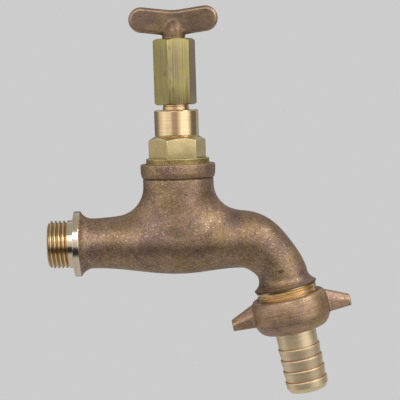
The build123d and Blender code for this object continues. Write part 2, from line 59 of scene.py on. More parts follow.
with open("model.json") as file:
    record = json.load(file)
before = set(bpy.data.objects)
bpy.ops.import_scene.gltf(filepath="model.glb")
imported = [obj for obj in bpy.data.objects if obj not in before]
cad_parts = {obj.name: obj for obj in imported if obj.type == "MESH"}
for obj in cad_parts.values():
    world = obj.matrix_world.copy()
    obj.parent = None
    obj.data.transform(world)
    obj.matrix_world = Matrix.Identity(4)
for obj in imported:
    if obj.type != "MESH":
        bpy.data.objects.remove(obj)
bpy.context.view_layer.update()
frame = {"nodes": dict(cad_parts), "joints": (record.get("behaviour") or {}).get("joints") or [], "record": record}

import json
import math
from types import SimpleNamespace

import bmesh
import bpy
import numpy as np
from bpy.props import FloatProperty, FloatVectorProperty, IntProperty, PointerProperty
from mathutils import Matrix

MM = 0.001
FULL_TURN = 2 * math.pi
FLARE_POWER = 0.53  # below 1, a flare falls fast from its rim and runs out slowly along the tube
WAIST_POWER = 1.4  # above 1, the waist lies nearer to the outlet lip


# ---------------------------------------------------------------- places from the frame


def span(node, axis):
    """Lowest and highest coordinate of a frame node along one axis, in millimetres."""
    low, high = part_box(node)
    return low[axis] / MM, high[axis] / MM


def joint_named(name):
    """The frame's joint of that name."""
    return next(j for j in frame["joints"] if j["name"] == name)


def places():
    """Every level and axis that the pieces share, read from the frame."""
    swivel = joint_named("hose_tail_swivel")
    outlet = np.array(swivel["axis"], float)
    outlet /= np.linalg.norm(outlet)
    at = SimpleNamespace()
    at.valve_x = sum(span("gland_nut", 0)) / 2
    at.inlet_end = span("body", 0)[0]
    at.outlet_axis = outlet
    at.lip = np.array(swivel["pos_m"]) / MM
    at.bonnet_bottom, at.hex_top = span("bonnet", 2)
    at.collar_top = span("body", 2)[1]
    at.guard_bottom, at.guard_top = span("gland_nut", 2)
    at.key_bottom, at.key_top = span("key_socket", 2)
    at.handle_top = span("key_handle", 2)[1]
    at.nut_top, at.nut_bottom = along_outlet("wing_nut", at)
    at.tail_top, at.tail_bottom = along_outlet("hose_tail", at)
    return at


def along_outlet(node, at):
    """First and last distance of a frame node's points along the outlet axis, from the lip."""
    mesh = frame["nodes"][node].data
    points = np.empty(len(mesh.vertices) * 3)
    mesh.vertices.foreach_get("co", points)
    along = (points.reshape(-1, 3) / MM - at.lip) @ at.outlet_axis
    return float(along.min()), float(along.max())


# ---------------------------------------------------------------- user's sizes and colours


def length(millimetres, name, description):
    """A length property with its default in millimetres."""
    return FloatProperty(
        name=name, description=description, default=millimetres * MM, min=0, unit="LENGTH", precision=5
    )


def angle(degrees, name, description):
    """An angle property with its default in degrees."""
    return FloatProperty(name=name, description=description, default=math.radians(degrees), unit="ROTATION")


def colour(red, green, blue, name, description):
    """A linear colour property."""
    return FloatVectorProperty(
        name=name, description=description, default=(red, green, blue), min=0, max=1, subtype="COLOR"
    )


def in_mm(group):
    """The group's values, with its lengths in millimetres."""
    values = {}
    for key, prop in group.bl_rna.properties.items():
        if key in {"rna_type", "name"}:
            continue
        value = getattr(group, key)
        values[key] = value / MM if getattr(prop, "unit", "NONE") == "LENGTH" else value
    return SimpleNamespace(**values)


class BIB_PG_casting(bpy.types.PropertyGroup):
    tube_radius: length(10.95, "Tube radius", "Outside radius of the inlet tube")
    belly_radius: length(14.45, "Belly radius", "Outside radius under the valve")
    belly_spread: length(1.3, "Belly spread", "Extra half width of the belly")
    spout_radius: length(12.6, "Spout radius", "Outside radius where the spout starts to bend")
    nozzle_radius: length(10.85, "Nozzle radius", "Outside radius above the outlet lip")
    bend_radius: length(19.2, "Bend radius", "Radius of the spout's centreline")
    bend_start: length(71.8, "Bend start", "Distance from the wall shoulder to the bend")
    bend_sag: length(1.1, "Bend sag", "How far the spout's sections sag inwards round the bend")
    bend_waist: length(0.4, "Bend waist", "How much thinner the spout is round the bend")
    flange_radius: length(14.0, "Flange root", "Radius of the casting behind the wall flange")
    flare_start: length(2.6, "Flare start", "Where the casting begins behind the wall flange")
    flare_end: length(8.0, "Flare end", "Where the flare runs out into the tube")
    neck_radius: length(15.4, "Neck radius", "Outside radius of the valve neck")
    neck_blend: length(13.0, "Neck blend", "Fillet between the neck and the tube")
    collar_radius: length(16.35, "Collar radius", "Outside radius of the collar")
    collar_height: length(5.9, "Collar height", "Height of the collar")
    collar_bore: length(12.0, "Collar bore", "Radius of the collar's tapped hole")
    collar_recess: length(14.2, "Collar recess", "Radius of the recess for the bonnet's gasket")
    recess_depth: length(1.0, "Recess depth", "Depth of the recess for the bonnet's gasket")
    lip_radius: length(13.75, "Lip radius", "Outside radius of the outlet lip")
    lip_thickness: length(0.8, "Lip thickness", "Thickness of the outlet lip")
    nozzle_flare: length(4.6, "Nozzle flare", "Length of the flare above the outlet lip")
    inlet_bore: length(7.0, "Inlet bore", "Radius of the inlet bore")
    passage_start: length(19.5, "Passage start", "Where the inlet bore ends and the passage dips")
    passage_drop: length(7.25, "Passage drop", "How far the passage lies below the inlet axis")
    passage_end: length(2.2, "Passage end", "Distance of the passage's end from the valve axis")
    passage_bore: length(4.6, "Passage bore", "Radius of the passage under the seat")
    seat_bore: length(6.5, "Seat bore", "Radius of the hole in the seat")
    seat_height: length(2.0, "Seat height", "Height of the seat over the inlet axis")
    chamber_bore: length(11.3, "Chamber bore", "Radius of the chamber over the seat")
    spout_start: length(9.1, "Spout start", "Where the spout's bore starts, past the valve axis")
    spout_bore: length(7.8, "Spout bore", "Radius of the spout's bore")
    grid: length(0.55, "Casting grid", "Grid step of the casting's surface")


class BIB_PG_threads(bpy.types.PropertyGroup):
    inlet_radius: length(10.4, "Inlet thread", "Crest radius of the inlet thread")
    outlet_radius: length(13.2, "Outlet thread", "Crest radius of the outlet thread")
    pitch: length(1.814, "Pitch", "Distance from crest to crest")
    depth: length(1.05, "Depth", "Height of a crest over its root")
    flange_radius: length(14.24, "Flange radius", "Radius of the machined wall flange")
    flange_thickness: length(2.8, "Flange thickness", "Thickness of the machined wall flange")
    plain_length: length(2.1, "Plain length", "Shank between the inlet thread and the flange")
    outlet_length: length(12.0, "Outlet length", "Length of the outlet spigot")


class BIB_PG_headwork(bpy.types.PropertyGroup):
    flange_radius: length(13.8, "Bonnet flange", "Radius of the bonnet's flange")
    flange_thickness: length(2.4, "Flange thickness", "Thickness of the bonnet's flange")
    hexagon: length(22.0, "Hexagon", "Bonnet hexagon across flats")
    hexagon_turn: angle(11.0, "Hexagon turn", "Turn of the hexagon about the valve axis")
    hexagon_corner: length(0.55, "Hexagon corner", "Rounding of the hexagon's corners")
    thread_radius: length(11.9, "Neck thread", "Radius of the bonnet's own thread")
    thread_length: length(8.9, "Thread length", "Length of the bonnet's own thread")
    snout_radius: length(10.2, "Snout", "Radius of the bonnet under its thread")
    stem_bore: length(6.6, "Stem bore", "Radius of the spindle's tapped bore")
    shank_bore: length(4.85, "Shank bore", "Radius of the hole round the spindle's shank")
    packing_bore: length(7.5, "Packing bore", "Radius of the stuffing box")
    box_floor: length(1.2, "Box floor", "Height of the stuffing box's floor over the collar")
    box_wall: length(2.0, "Box wall", "Thickness of the stuffing box's floor")
    gland_bore: length(8.0, "Gland bore", "Radius of the gland nut's tapped hole")
    gland_floor: length(7.4, "Gland floor", "Height of the tapped hole's floor over the collar")
    guard_floor: length(1.0, "Guard floor", "Thickness of the gland nut's floor over the hexagon")
    guard_radius: length(9.6, "Guard radius", "Outside radius of the gland nut")
    guard_bore: length(6.3, "Guard bore", "Inside radius of the gland nut's skirt")


class BIB_PG_key(bpy.types.PropertyGroup):
    hexagon: length(16.3, "Key hexagon", "Key bar across flats")
    hexagon_turn: angle(13.0, "Key turn", "Turn of the key bar about the valve axis")
    corner: length(0.4, "Key corner", "Rounding of the key bar's corners")
    bar_length: length(28.4, "Bar length", "Length of the key's hexagon bar")
    nose_radius: length(5.7, "Nose radius", "Radius of the key's turned nose")
    square: length(6.7, "Square hole", "Side of the square hole in the nose")
    square_depth: length(10.0, "Square depth", "Depth of the square hole")
    stem_radius: length(5.0, "Stem radius", "Radius of the handle's stem")
    tang_radius: length(3.95, "Tang radius", "Radius of the tang pressed into the bar")
    tang_length: length(16.0, "Tang length", "Depth of the tang in the bar")
    arm_height: length(10.85, "Arm height", "Height of each arm")
    arm_reach: length(14.0, "Arm reach", "Distance from the axis to each arm's end arc")
    arm_rise: angle(7.5, "Arm rise", "How far the arms point upwards")
    thickness: length(5.9, "Arm thickness", "Thickness of the arms")
    edge: length(1.5, "Arm edge", "Rounding of the arms' edges")
    rib_height: length(8.4, "Rib height", "Height of the pointed rib on each face")
    grid: length(0.34, "Handle grid", "Grid step of the handle's surface")


class BIB_PG_union(bpy.types.PropertyGroup):
    nut_rim: length(15.0, "Nut rim", "Radius of the nut at its top")
    nut_belly: length(17.05, "Nut belly", "Largest radius of the nut's barrel")
    nut_foot: length(11.4, "Nut foot", "Radius of the nut at its foot")
    nut_bore: length(13.3, "Nut bore", "Inside radius of the nut")
    nut_floor: length(3.0, "Nut floor", "Thickness of the nut's floor")
    tail_hole: length(9.55, "Tail hole", "Radius of the hole in the nut's floor")
    wing_tip: length(26.55, "Wing tip", "Distance from the axis to a wing's tip")
    wing_turn: angle(0.0, "Wing turn", "Turn of the wings about the outlet axis")
    grid: length(0.42, "Nut grid", "Grid step of the nut's surface")
    tail_radius: length(9.2, "Tail radius", "Radius of the tail's plain neck")
    tail_root: length(8.75, "Tail root", "Radius at the foot of each barb")
    barb_radius: length(9.33, "Barb radius", "Radius of each barb's crest")
    tail_bore: length(6.9, "Tail bore", "Radius of the bore through the tail")
    tail_flange: length(12.6, "Tail flange", "Radius of the flange that the nut holds")
    barb_pitch: length(4.95, "Barb pitch", "Distance from barb to barb")
    barbs: IntProperty(name="Barbs", description="Number of barbs on the tail", default=4, min=1)


class BIB_PG_finish(bpy.types.PropertyGroup):
    bronze_dark: colour(0.105, 0.072, 0.050, "Bronze dark", "Darkest tone of the cast bronze")
    bronze_mid: colour(0.315, 0.203, 0.130, "Bronze middle", "Main tone of the cast bronze")
    bronze_light: colour(0.58, 0.41, 0.285, "Bronze light", "Rubbed tone of the cast bronze")
    bronze_ochre: colour(0.37, 0.255, 0.118, "Bronze ochre", "Ochre patches of the cast bronze")
    bronze_grey: colour(0.285, 0.190, 0.165, "Bronze grey", "Grey-brown patches of the cast bronze")
    # bronze_deep is painted shade in the casting's crevices, and the tone of its one darkened dent.
    bronze_deep: colour(0.035, 0.024, 0.016, "Bronze deep", "Tone in the casting's crevices")
    brass_olive: colour(0.425, 0.365, 0.145, "Olive brass", "Main tone of the drawn key bar")
    brass_grey: colour(0.36, 0.29, 0.195, "Grey brass", "Tarnished tone of the drawn key bar")
    brass_green: colour(0.68, 0.54, 0.275, "Green brass", "Main tone of the bonnet's hexagon")
    brass_dull: colour(0.50, 0.36, 0.13, "Dull brass", "Tone of the bonnet's flange")
    brass_bright: colour(0.86, 0.655, 0.385, "Bright brass", "Main tone of the turned guard")
    brass_pink: colour(0.80, 0.50, 0.315, "Pink brass", "Warm tone of the turned guard")
    brass_satin: colour(0.98, 0.80, 0.54, "Satin brass", "Main tone of the hose tail")
    thread_gold: colour(0.88, 0.67, 0.40, "Thread gold", "Tone of the threads' crests")
    # Painted shade between the threads' crests.
    thread_root_shade: colour(0.34, 0.22, 0.11, "Thread root", "Grime between the threads' crests")
    shank_pale: colour(0.78, 0.70, 0.56, "Pale shank", "Tone of the wall flange and its shank")
    # Painted reflection: warm stripe down the gland nut.
    painted_reflection_brown: colour(0.62, 0.36, 0.20, "Warm streak", "Warm stripe down the gland nut")
    # Painted shade at the foot of each barb.
    barb_foot_shade: colour(0.48, 0.20, 0.08, "Barb line", "Tone at the foot of each barb")


class BIB_PG_stage(bpy.types.PropertyGroup):
    aim_x: length(55.4, "Aim X", "Where the camera aims along the inlet axis")
    aim_z: length(17.6, "Aim Z", "Height at which the camera aims")
    distance: length(565.0, "Distance", "Camera distance")
    elevation: angle(4.5, "Elevation", "Camera height above the horizon")
    roll: angle(1.8, "Roll", "Lean of the camera to the right")
    lens: FloatProperty(name="Lens", description="Focal length on a 36 mm sensor", default=116.2, min=1)
    floor_gap: length(20.0, "Floor gap", "Distance from the lowest point to the floor")
    backdrop: colour(0.604, 0.604, 0.604, "Backdrop", "Pale colour of the floor and the backdrop")


GROUPS = {
    "bib_casting": BIB_PG_casting,
    "bib_threads": BIB_PG_threads,
    "bib_headwork": BIB_PG_headwork,
    "bib_key": BIB_PG_key,
    "bib_union": BIB_PG_union,
    "bib_finish": BIB_PG_finish,
    "bib_stage": BIB_PG_stage,
}


# ---------------------------------------------------------------- frames and meshes


def upright(x=0.0, z=0.0):
    """Frame with its Z up, at (x, 0, z): columns are its three directions and its origin."""
    return np.array([[1, 0, 0, x], [0, 1, 0, 0], [0, 0, 1, z]], float)


def inlet_frame():
    """Frame whose Z runs along the inlet axis towards the spout."""
    return np.array([[0, 0, 1, 0], [0, -1, 0, 0], [1, 0, 0, 0]], float)


def outlet_frame(at):
    """Frame whose Z runs down the outlet axis from the lip, and whose Y is the tap's Y."""
    z = at.outlet_axis
    y = np.array([0.0, 1.0, 0.0])
    return np.column_stack([np.cross(y, z), y, z, at.lip])


def placed(points, place):
    """Points of a local frame in the tap's frame: turned by its directions, then moved."""
    flat = points.reshape(-1, 3)
    return (flat @ place[:, :3].T + place[:, 3]).reshape(points.shape)


def skin(points, wrap_rows=False):
    """Vertices and faces of a grid of points (row, turn) that closes round its second side.

    Face (i, j) joins row i to row i + 1 between turns j and j + 1.  A row whose points all
    meet is one vertex with triangles round it, and wrap_rows joins the last row to the first.
    """
    rows, turns, _ = points.shape
    pole = np.ptp(points, axis=1).max(axis=1) < 1e-7
    start = np.concatenate([[0], np.cumsum(np.where(pole, 1, turns))])
    ids = start[:-1, None] + np.where(pole[:, None], 0, np.arange(turns)[None, :])
    verts = np.concatenate([points[i, :1] if pole[i] else points[i] for i in range(rows)])
    faces = []
    for i in range(rows if wrap_rows else rows - 1):
        k = (i + 1) % rows
        a, b = ids[i], ids[k]
        a2, b2 = np.roll(a, -1), np.roll(b, -1)
        if pole[i]:
            faces += np.stack([a, b2, b], 1).tolist()
        elif pole[k]:
            faces += np.stack([a, a2, b], 1).tolist()
        else:
            faces += np.stack([a, a2, b2, b], 1).tolist()
    return verts, faces


def stacked(rows, turns):
    """Grid of points r(θ)·(cos θ, sin θ) at height z(θ), one row for each (r, z) pair."""
    shape = (len(rows), len(turns))
    radius = np.array([np.broadcast_to(r, shape[1]) for r, _ in rows])
    height = np.array([np.broadcast_to(z, shape[1]) for _, z in rows])
    return np.stack([radius * np.cos(turns), radius * np.sin(turns), height], axis=-1)


def circle(count):
    """Equal turns round a circle."""
    return np.arange(count) * FULL_TURN / count


def softened(profile, reach, steps=4):
    """The open or closed outline of (r, z) corners with each corner drawn as a parabola.

    The curve leaves one side at reach from the corner, takes the corner as its middle
    control point, and has one more point on each side to keep the flats flat.
    """
    points = np.array(profile, float)
    out = [points[0]]
    for before, corner, after in zip(points[:-2], points[1:-1], points[2:]):
        back, ahead = before - corner, after - corner
        long_back, long_ahead = np.hypot(*back), np.hypot(*ahead)
        cut = min(reach, 0.42 * long_back, 0.42 * long_ahead)
        p, q = corner + back * cut / long_back, corner + ahead * cut / long_ahead
        out.append(corner + back * min(cut * 1.3, 0.48 * long_back) / long_back)
        for t in np.linspace(0, 1, steps):
            out.append(p * (1 - t) ** 2 + 2 * corner * t * (1 - t) + q * t**2)
        out.append(corner + ahead * min(cut * 1.3, 0.48 * long_ahead) / long_ahead)
    out.append(points[-1])
    return [tuple(p) for p in out]


def closed_ring(profile, reach, steps=4):
    """A closed outline with all its corners softened, starting in the middle of a side."""
    first, last = np.array(profile[0], float), np.array(profile[-1], float)
    middle = tuple((first + last) / 2)
    return softened([middle, *profile, middle], reach, steps)[:-1]


def turned(profile, reach, count, place):
    """Skin of a closed outline of (r, z), its corners softened, carried round its axis."""
    return skin(placed(stacked(closed_ring(profile, reach), circle(count)), place), True)


def put_piece(name, parts, body, nodes, crease=32.0):
    """One object from several (vertices, faces) skins, with doubles merged and edges marked.

    It rides on body and stands for the frame nodes given.
    """
    verts, faces, count = [], [], 0
    for points, cells in parts:
        verts.append(points)
        faces += [[index + count for index in cell] for cell in cells]
        count += len(points)
    mesh = bpy.data.meshes.new(name)
    mesh.from_pydata((np.concatenate(verts) * MM).tolist(), [], faces)
    merge_doubles(mesh)
    mesh.shade_smooth()
    mesh.set_sharp_from_angle(angle=math.radians(crease))
    mark_edges(mesh)
    piece = bpy.data.objects.new(name, mesh)
    bpy.context.scene.collection.objects.link(piece)
    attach(piece, body)
    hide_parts(*nodes)
    return piece


def merge_doubles(mesh):
    """Vertices less than a tenth of a micrometre apart become one, and empty faces go."""
    work = bmesh.new()
    work.from_mesh(mesh)
    bmesh.ops.remove_doubles(work, verts=work.verts, dist=1e-7)
    bmesh.ops.dissolve_degenerate(work, edges=work.edges, dist=1e-8)
    work.to_mesh(mesh)
    work.free()
    mesh.update()


def mark_edges(mesh):
    """Point attribute "edge": how far a vertex stands out from its neighbours, from 0 to 1.

    The height of the vertex over a neighbour along its own normal, divided by their
    distance, is averaged over its edges.
    """
    count = len(mesh.vertices)
    points = np.empty(count * 3)
    normals = np.empty(count * 3)
    ends = np.empty(len(mesh.edges) * 2, int)
    mesh.vertices.foreach_get("co", points)
    mesh.vertices.foreach_get("normal", normals)
    mesh.edges.foreach_get("vertices", ends)
    points, normals, ends = points.reshape(-1, 3), normals.reshape(-1, 3), ends.reshape(-1, 2)
    total = np.zeros(count)
    seen = np.zeros(count)
    for a, b in ((0, 1), (1, 0)):
        one, other = ends[:, a], ends[:, b]
        step = points[one] - points[other]
        rise = (step * normals[one]).sum(1) / (np.linalg.norm(step, axis=1) + 1e-9)
        np.add.at(total, one, rise)
        np.add.at(seen, one, 1)
    edge = np.clip(total / np.maximum(seen, 1) * 4, 0, 1)
    layer = mesh.attributes.new("edge", "FLOAT", "POINT")
    layer.data.foreach_set("value", edge.astype(np.float32))


# ---------------------------------------------------------------- surfaces from a field


def surface_of(field, low, high, step, rounds=3):
    """Skin of the surface where field(points) is zero, inside the box from low to high.

    Each grid cell that the surface crosses gets one vertex, at the mean of the crossings on
    its edges, and each grid edge that it crosses gets one face.  The vertices then move
    onto the surface by Newton steps along the field's slope.
    """
    low, high = np.array(low, float), np.array(high, float)
    counts = np.ceil((high - low) / step).astype(int) + 1
    axes = [low[k] + step * np.arange(counts[k]) for k in range(3)]
    grid = np.stack(np.meshgrid(*axes, indexing="ij"), axis=-1)
    value = field(grid.reshape(-1, 3)).reshape(counts)
    cells = counts - 1
    total = np.zeros((*cells, 3))
    crossings = np.zeros(cells)
    for axis in range(3):
        others = [k for k in range(3) if k != axis]
        for p in (0, 1):
            for q in (0, 1):
                offset = np.zeros(3, int)
                offset[others[0]], offset[others[1]] = p, q
                ahead = offset.copy()
                ahead[axis] = 1
                a = value[tuple(slice(offset[k], offset[k] + cells[k]) for k in range(3))]
                b = value[tuple(slice(ahead[k], ahead[k] + cells[k]) for k in range(3))]
                hit = (a < 0) != (b < 0)
                share = np.where(hit, a / np.where(hit, a - b, 1), 0)
                for k in range(3):
                    total[..., k] += np.where(hit, share if k == axis else offset[k], 0)
                crossings += hit
    active = crossings > 0
    ids = np.full(cells, -1)
    ids[active] = np.arange(active.sum())
    place = np.argwhere(active) + total[active] / crossings[active][:, None]
    verts = low + place * step
    faces = []
    for axis in range(3):
        u, v = [(1, 2), (2, 0), (0, 1)][axis]
        size = cells.copy()
        size[u] -= 1
        size[v] -= 1

        def node(du, dv, array, extra):
            offset = np.zeros(3, int)
            offset[u], offset[v] = du, dv
            offset[axis] += extra
            return array[tuple(slice(offset[k], offset[k] + size[k]) for k in range(3))]

        a, b = node(1, 1, value, 0), node(1, 1, value, 1)
        hit = (a < 0) != (b < 0)
        quad = np.stack([node(du, dv, ids, 0)[hit] for du, dv in ((0, 0), (1, 0), (1, 1), (0, 1))], 1)
        outward = (a < 0)[hit]
        faces.append(np.where(outward[:, None], quad, quad[:, ::-1]))
    faces = np.concatenate(faces)
    for _ in range(rounds):
        here = field(verts)
        slope = slope_of(field, verts)
        move = -here[:, None] * slope / np.maximum((slope**2).sum(1), 1e-6)[:, None]
        reach = np.linalg.norm(move, axis=1)
        verts = verts + move * (np.minimum(reach, step / 2) / np.maximum(reach, 1e-9))[:, None]
    return verts, faces.tolist()


def slope_of(field, points, nudge=0.02):
    """Gradient of a field by central differences."""
    parts = []
    for k in range(3):
        shift = np.zeros(3)
        shift[k] = nudge
        parts.append((field(points + shift) - field(points - shift)) / (2 * nudge))
    return np.stack(parts, axis=1)


def rolled_union(first, second, radius):
    """Field of two shapes joined by the fillet that a ball of that radius would leave.

    With u and v the ball's centre heights over the two surfaces less the point's own, and c
    the cosine between their slopes, the point is √((u² + v² − 2uvc) / (1 − c²)) from it.
    """

    def field(points):
        a, b = first(points), second(points)
        out = np.minimum(a, b)
        near = (a < radius) & (b < radius) & (a > -radius) & (b > -radius)
        spot = points[near]
        slope_a, slope_b = slope_of(first, spot), slope_of(second, spot)
        slope_a /= np.linalg.norm(slope_a, axis=1)[:, None] + 1e-9
        slope_b /= np.linalg.norm(slope_b, axis=1)[:, None] + 1e-9
        c = np.clip((slope_a * slope_b).sum(1), -0.95, 0.985)
        u, v = radius - a[near], radius - b[near]
        between = (u > c * v) & (v > c * u)
        ball = radius - np.sqrt(np.maximum((u * u + v * v - 2 * u * v * c) / (1 - c * c), 0))
        out[near] = np.where(between, np.minimum(ball, out[near]), out[near])
        return out

    return field


def smooth_least(a, b, reach):
    """The lesser of two fields, blended where they differ by less than reach."""
    share = np.clip(0.5 + 0.5 * (b - a) / reach, 0, 1)
    return b * (1 - share) + a * share - reach * share * (1 - share)


def smooth_most(a, b, reach):
    """The greater of two fields, blended where they differ by less than reach."""
    return -smooth_least(-a, -b, reach)


def outline_distance(points, outline):
    """Signed distance of 2-D points from a closed outline, negative inside.

    The distance is to the nearest side, and the sign comes from how many sides a ray crosses.
    """
    best = np.full(len(points), np.inf)
    inside = np.zeros(len(points), bool)
    for a, b in zip(outline, np.roll(outline, -1, axis=0)):
        edge = b - a
        rel = points - a
        share = np.clip((rel @ edge) / (edge @ edge), 0, 1)
        best = np.minimum(best, ((rel - share[:, None] * edge) ** 2).sum(1))
        spans = (points[:, 1] < a[1]) != (points[:, 1] < b[1])
        run = edge[1] if abs(edge[1]) > 1e-12 else 1e-12
        inside ^= spans & (points[:, 0] < a[0] + rel[:, 1] * edge[0] / run)
    return np.where(inside, -1, 1) * np.sqrt(best)


# ---------------------------------------------------------------- the casting


def swelling(share):
    """One at share 0, none at share 1 and beyond, level at both: the square of a cosine."""
    return np.cos(np.clip(share, 0, 1) * math.pi / 2) ** 2


def spout_path(points, size, at):
    """Distance along the casting's centreline, and the two offsets across it.

    The line runs straight to the bend, round an arc, and straight down the outlet axis.
    """
    turn_end = math.pi / 2 - math.asin(at.outlet_axis[0])
    x, z = points[:, 0] - size.bend_start, points[:, 2] + size.bend_radius
    turn = np.clip(np.arctan2(x, z), 0, turn_end)
    on_bend = (x > 0) & (np.arctan2(x, z) < turn_end) & (np.arctan2(x, z) > 0)
    ahead = x * math.cos(turn_end) - z * math.sin(turn_end)
    past = (x > 0) & ~on_bend & (np.hypot(x, z) > 1e-9) & (ahead > 0)
    rise = np.hypot(x, z) - size.bend_radius
    across = x * math.sin(turn_end) + z * math.cos(turn_end) - size.bend_radius
    along = np.where(past, size.bend_radius * turn_end + ahead, np.where(on_bend, size.bend_radius * turn, x))
    up = np.where(past, across, np.where(on_bend, rise, points[:, 2]))
    return along + size.bend_start, up


def casting_fields(size, at):
    """Fields of the tube and of the neck."""
    turn_end = math.pi / 2 - math.asin(at.outlet_axis[0])
    bend_length = size.bend_radius * turn_end
    bend_end = np.array([
        size.bend_start + size.bend_radius * math.sin(turn_end),
        0,
        size.bend_radius * (math.cos(turn_end) - 1),
    ])
    lip_along = size.bend_start + bend_length + float((at.lip - bend_end) @ at.outlet_axis)

    def radius_at(along):
        end = np.where(along < at.valve_x, size.tube_radius, size.spout_radius)
        run = np.where(along < at.valve_x, at.valve_x - size.flare_end, size.bend_start - at.valve_x)
        full = swelling(np.abs(along - at.valve_x) / run)
        taper = 1 - swelling((along - size.bend_start) / bend_length)
        radius = end + (size.belly_radius - end) * full - (size.spout_radius - size.nozzle_radius) * taper
        from_wall = (along - size.flare_start) / (size.flare_end - size.flare_start)
        from_lip = (lip_along - size.lip_thickness * 0.6 - along) / size.nozzle_flare
        flare = swelling(from_wall.clip(0, 1) ** FLARE_POWER)
        lip = swelling(from_lip.clip(0, 1) ** FLARE_POWER)
        radius = radius + (size.flange_radius - size.tube_radius) * flare
        return radius + (size.lip_radius - 0.1 - size.nozzle_radius) * lip, full

    def waist_at(along):
        run = lip_along - size.nozzle_flare - size.bend_start
        return np.sin(math.pi * np.clip((along - size.bend_start) / run, 0, 1) ** WAIST_POWER) ** 2

    def tube(points):
        along, up = spout_path(points, size, at)
        radius, full = radius_at(along)
        waist = waist_at(along)
        radius = radius - size.bend_waist * waist
        wide = radius + size.belly_spread * full
        out = np.hypot(points[:, 1] * radius / wide, up + size.bend_sag * waist) - radius
        out = np.maximum(out, size.flare_start - along)
        return np.maximum(out, along - lip_along + size.lip_thickness * 0.4)

    collar_bottom = at.collar_top - size.collar_height

    def neck(points):
        z = points[:, 2]
        groove = 0.12 * np.exp(-((z - collar_bottom + 0.4) / 0.4) ** 2)
        out = np.hypot(points[:, 0] - at.valve_x, points[:, 1]) - size.neck_radius + groove
        return np.maximum(out, np.maximum(-8 - z, z - collar_bottom - 0.8))

    def waterway(points):
        along, up = spout_path(points, size, at)
        y = points[:, 1]
        drop, seat = -size.passage_drop, size.seat_height
        start = np.array([size.passage_start, 0, 0])
        finish = np.array([at.valve_x - size.passage_end, 0, drop])
        inlet = np.maximum(np.hypot(y, points[:, 2]) - size.inlet_bore, points[:, 0] - start[0])
        run = finish - start
        share = np.clip((points - start) @ run / (run @ run), 0, 1)
        dip = np.linalg.norm(points - start - share[:, None] * run, axis=1) - size.passage_bore
        flat = np.hypot(points[:, 0] - at.valve_x, y)
        pocket = np.maximum(drop + 1 - points[:, 2], points[:, 2] - seat - 1.2)
        pocket = np.maximum(flat - size.seat_bore, pocket)
        chamber = np.maximum(flat - size.chamber_bore, seat - points[:, 2])
        spout = np.maximum(np.hypot(y, up) - size.spout_bore, at.valve_x + size.spout_start - along)
        out = inlet
        for other in (dip, pocket, chamber, spout):
            out = smooth_least(out, other, 0.6)
        return out

    return tube, neck, waterway


def casting_skin(size, at):
    """Skin of the hollow casting without its collar, wall flange and lip."""
    tube, neck, waterway = casting_fields(size, at)
    joined = rolled_union(tube, neck, size.neck_blend)

    def field(points):
        share = 1 - swelling(points[:, 2] / 3.0)
        outside = tube(points) * (1 - share) + joined(points) * share
        return np.maximum(outside, -waterway(points))

    low = (size.flare_start - 2, -size.neck_radius - 2, at.lip[2] - 5)
    high = (at.lip[0] + size.lip_radius + 3, size.neck_radius + 2, at.collar_top - size.collar_height + 2.6)
    return surface_of(field, low, high, size.grid)


def collar_skin(size, at):
    """The collar: an outline of (r, z) carried round the valve axis."""
    top, bottom = at.collar_top, at.collar_top - size.collar_height
    bore, recess, floor = size.collar_bore, size.collar_recess, top - size.recess_depth
    profile = [
        (bore, bottom - 0.4),
        (size.neck_radius - 0.35, bottom - 0.4),
        (size.neck_radius + 0.42, bottom + 0.05),
        (size.collar_radius - 0.08, bottom + 1.9),
        (size.collar_radius, top - 1.6),
        (size.collar_radius - 0.1, top),
        (recess, top),
        (recess, floor),
        (bore, floor),
    ]
    return turned(profile, 0.42, 160, upright(at.valve_x))


def lip_skin(size, at):
    """The outlet lip: a thin ring round the outlet axis."""
    thick = size.lip_thickness
    profile = [
        (size.spout_bore, -thick - 0.3),
        (size.lip_radius - 0.9, -thick - 0.3),
        (size.lip_radius, -thick * 0.55),
        (size.lip_radius, 0.0),
        (size.spout_bore, 0.0),
    ]
    return turned(profile, 0.2, 160, outlet_frame(at))


# ---------------------------------------------------------------- threads


def thread_skin(turns, crest, depth, pitch, start, end, limit, fade):
    """A screw thread between two heights, as rows that climb with the helix.

    Row height is w + pitch·θ/2π held between start and end, so the seam at a full turn joins a
    row to the one a pitch above it.  The radius is crest − depth·fade(z)·(1 − h), where h is a
    rounded zigzag of z/pitch − θ/2π, and it is cut by limit(z).
    """
    per_pitch = 12
    step = pitch / per_pitch
    count = int(math.ceil((end - start) / step)) + 2 * per_pitch + 2
    w = start - pitch - step + step * np.arange(count)
    height = np.clip(w[:, None] + pitch * turns[None, :] / FULL_TURN, start, end)
    phase = np.mod(height / pitch - turns[None, :] / FULL_TURN, 1.0)
    zigzag = 1 - np.abs(2 * phase - 1)
    ridge = np.clip((zigzag - 0.5) * 1.45, -0.5, 0.5) + 0.5
    ridge = ridge * ridge * (3 - 2 * ridge)
    radius = np.minimum(crest - depth * fade(height) * (1 - ridge), limit(height))
    points = np.stack([radius * np.cos(turns), radius * np.sin(turns), height], axis=-1)
    ids = np.arange(count * len(turns)).reshape(count, len(turns))
    ahead = np.roll(ids, -1, axis=1)
    ahead[:-per_pitch, -1] = ids[per_pitch:, 0]
    ahead[-per_pitch:, -1] = ids[-1, 0]
    faces = np.stack([ids[:-1], ahead[:-1], ahead[1:], ids[1:]], axis=-1).reshape(-1, 4)
    ends = [points[0], points[-1]]
    return points.reshape(-1, 3), faces.tolist(), ends


def rows_from(points):
    """The (r, z) row that a ring of thread points is."""
    return np.hypot(points[:, 0], points[:, 1]), points[:, 2]


def threaded(points, faces, front, back, turns, place):
    """The skins of a threaded end: its thread, and the rows before and after it."""
    rest = [skin(placed(stacked(rows, turns), place)) for rows in (front, back)]
    return [(placed(points, place), faces), *rest]


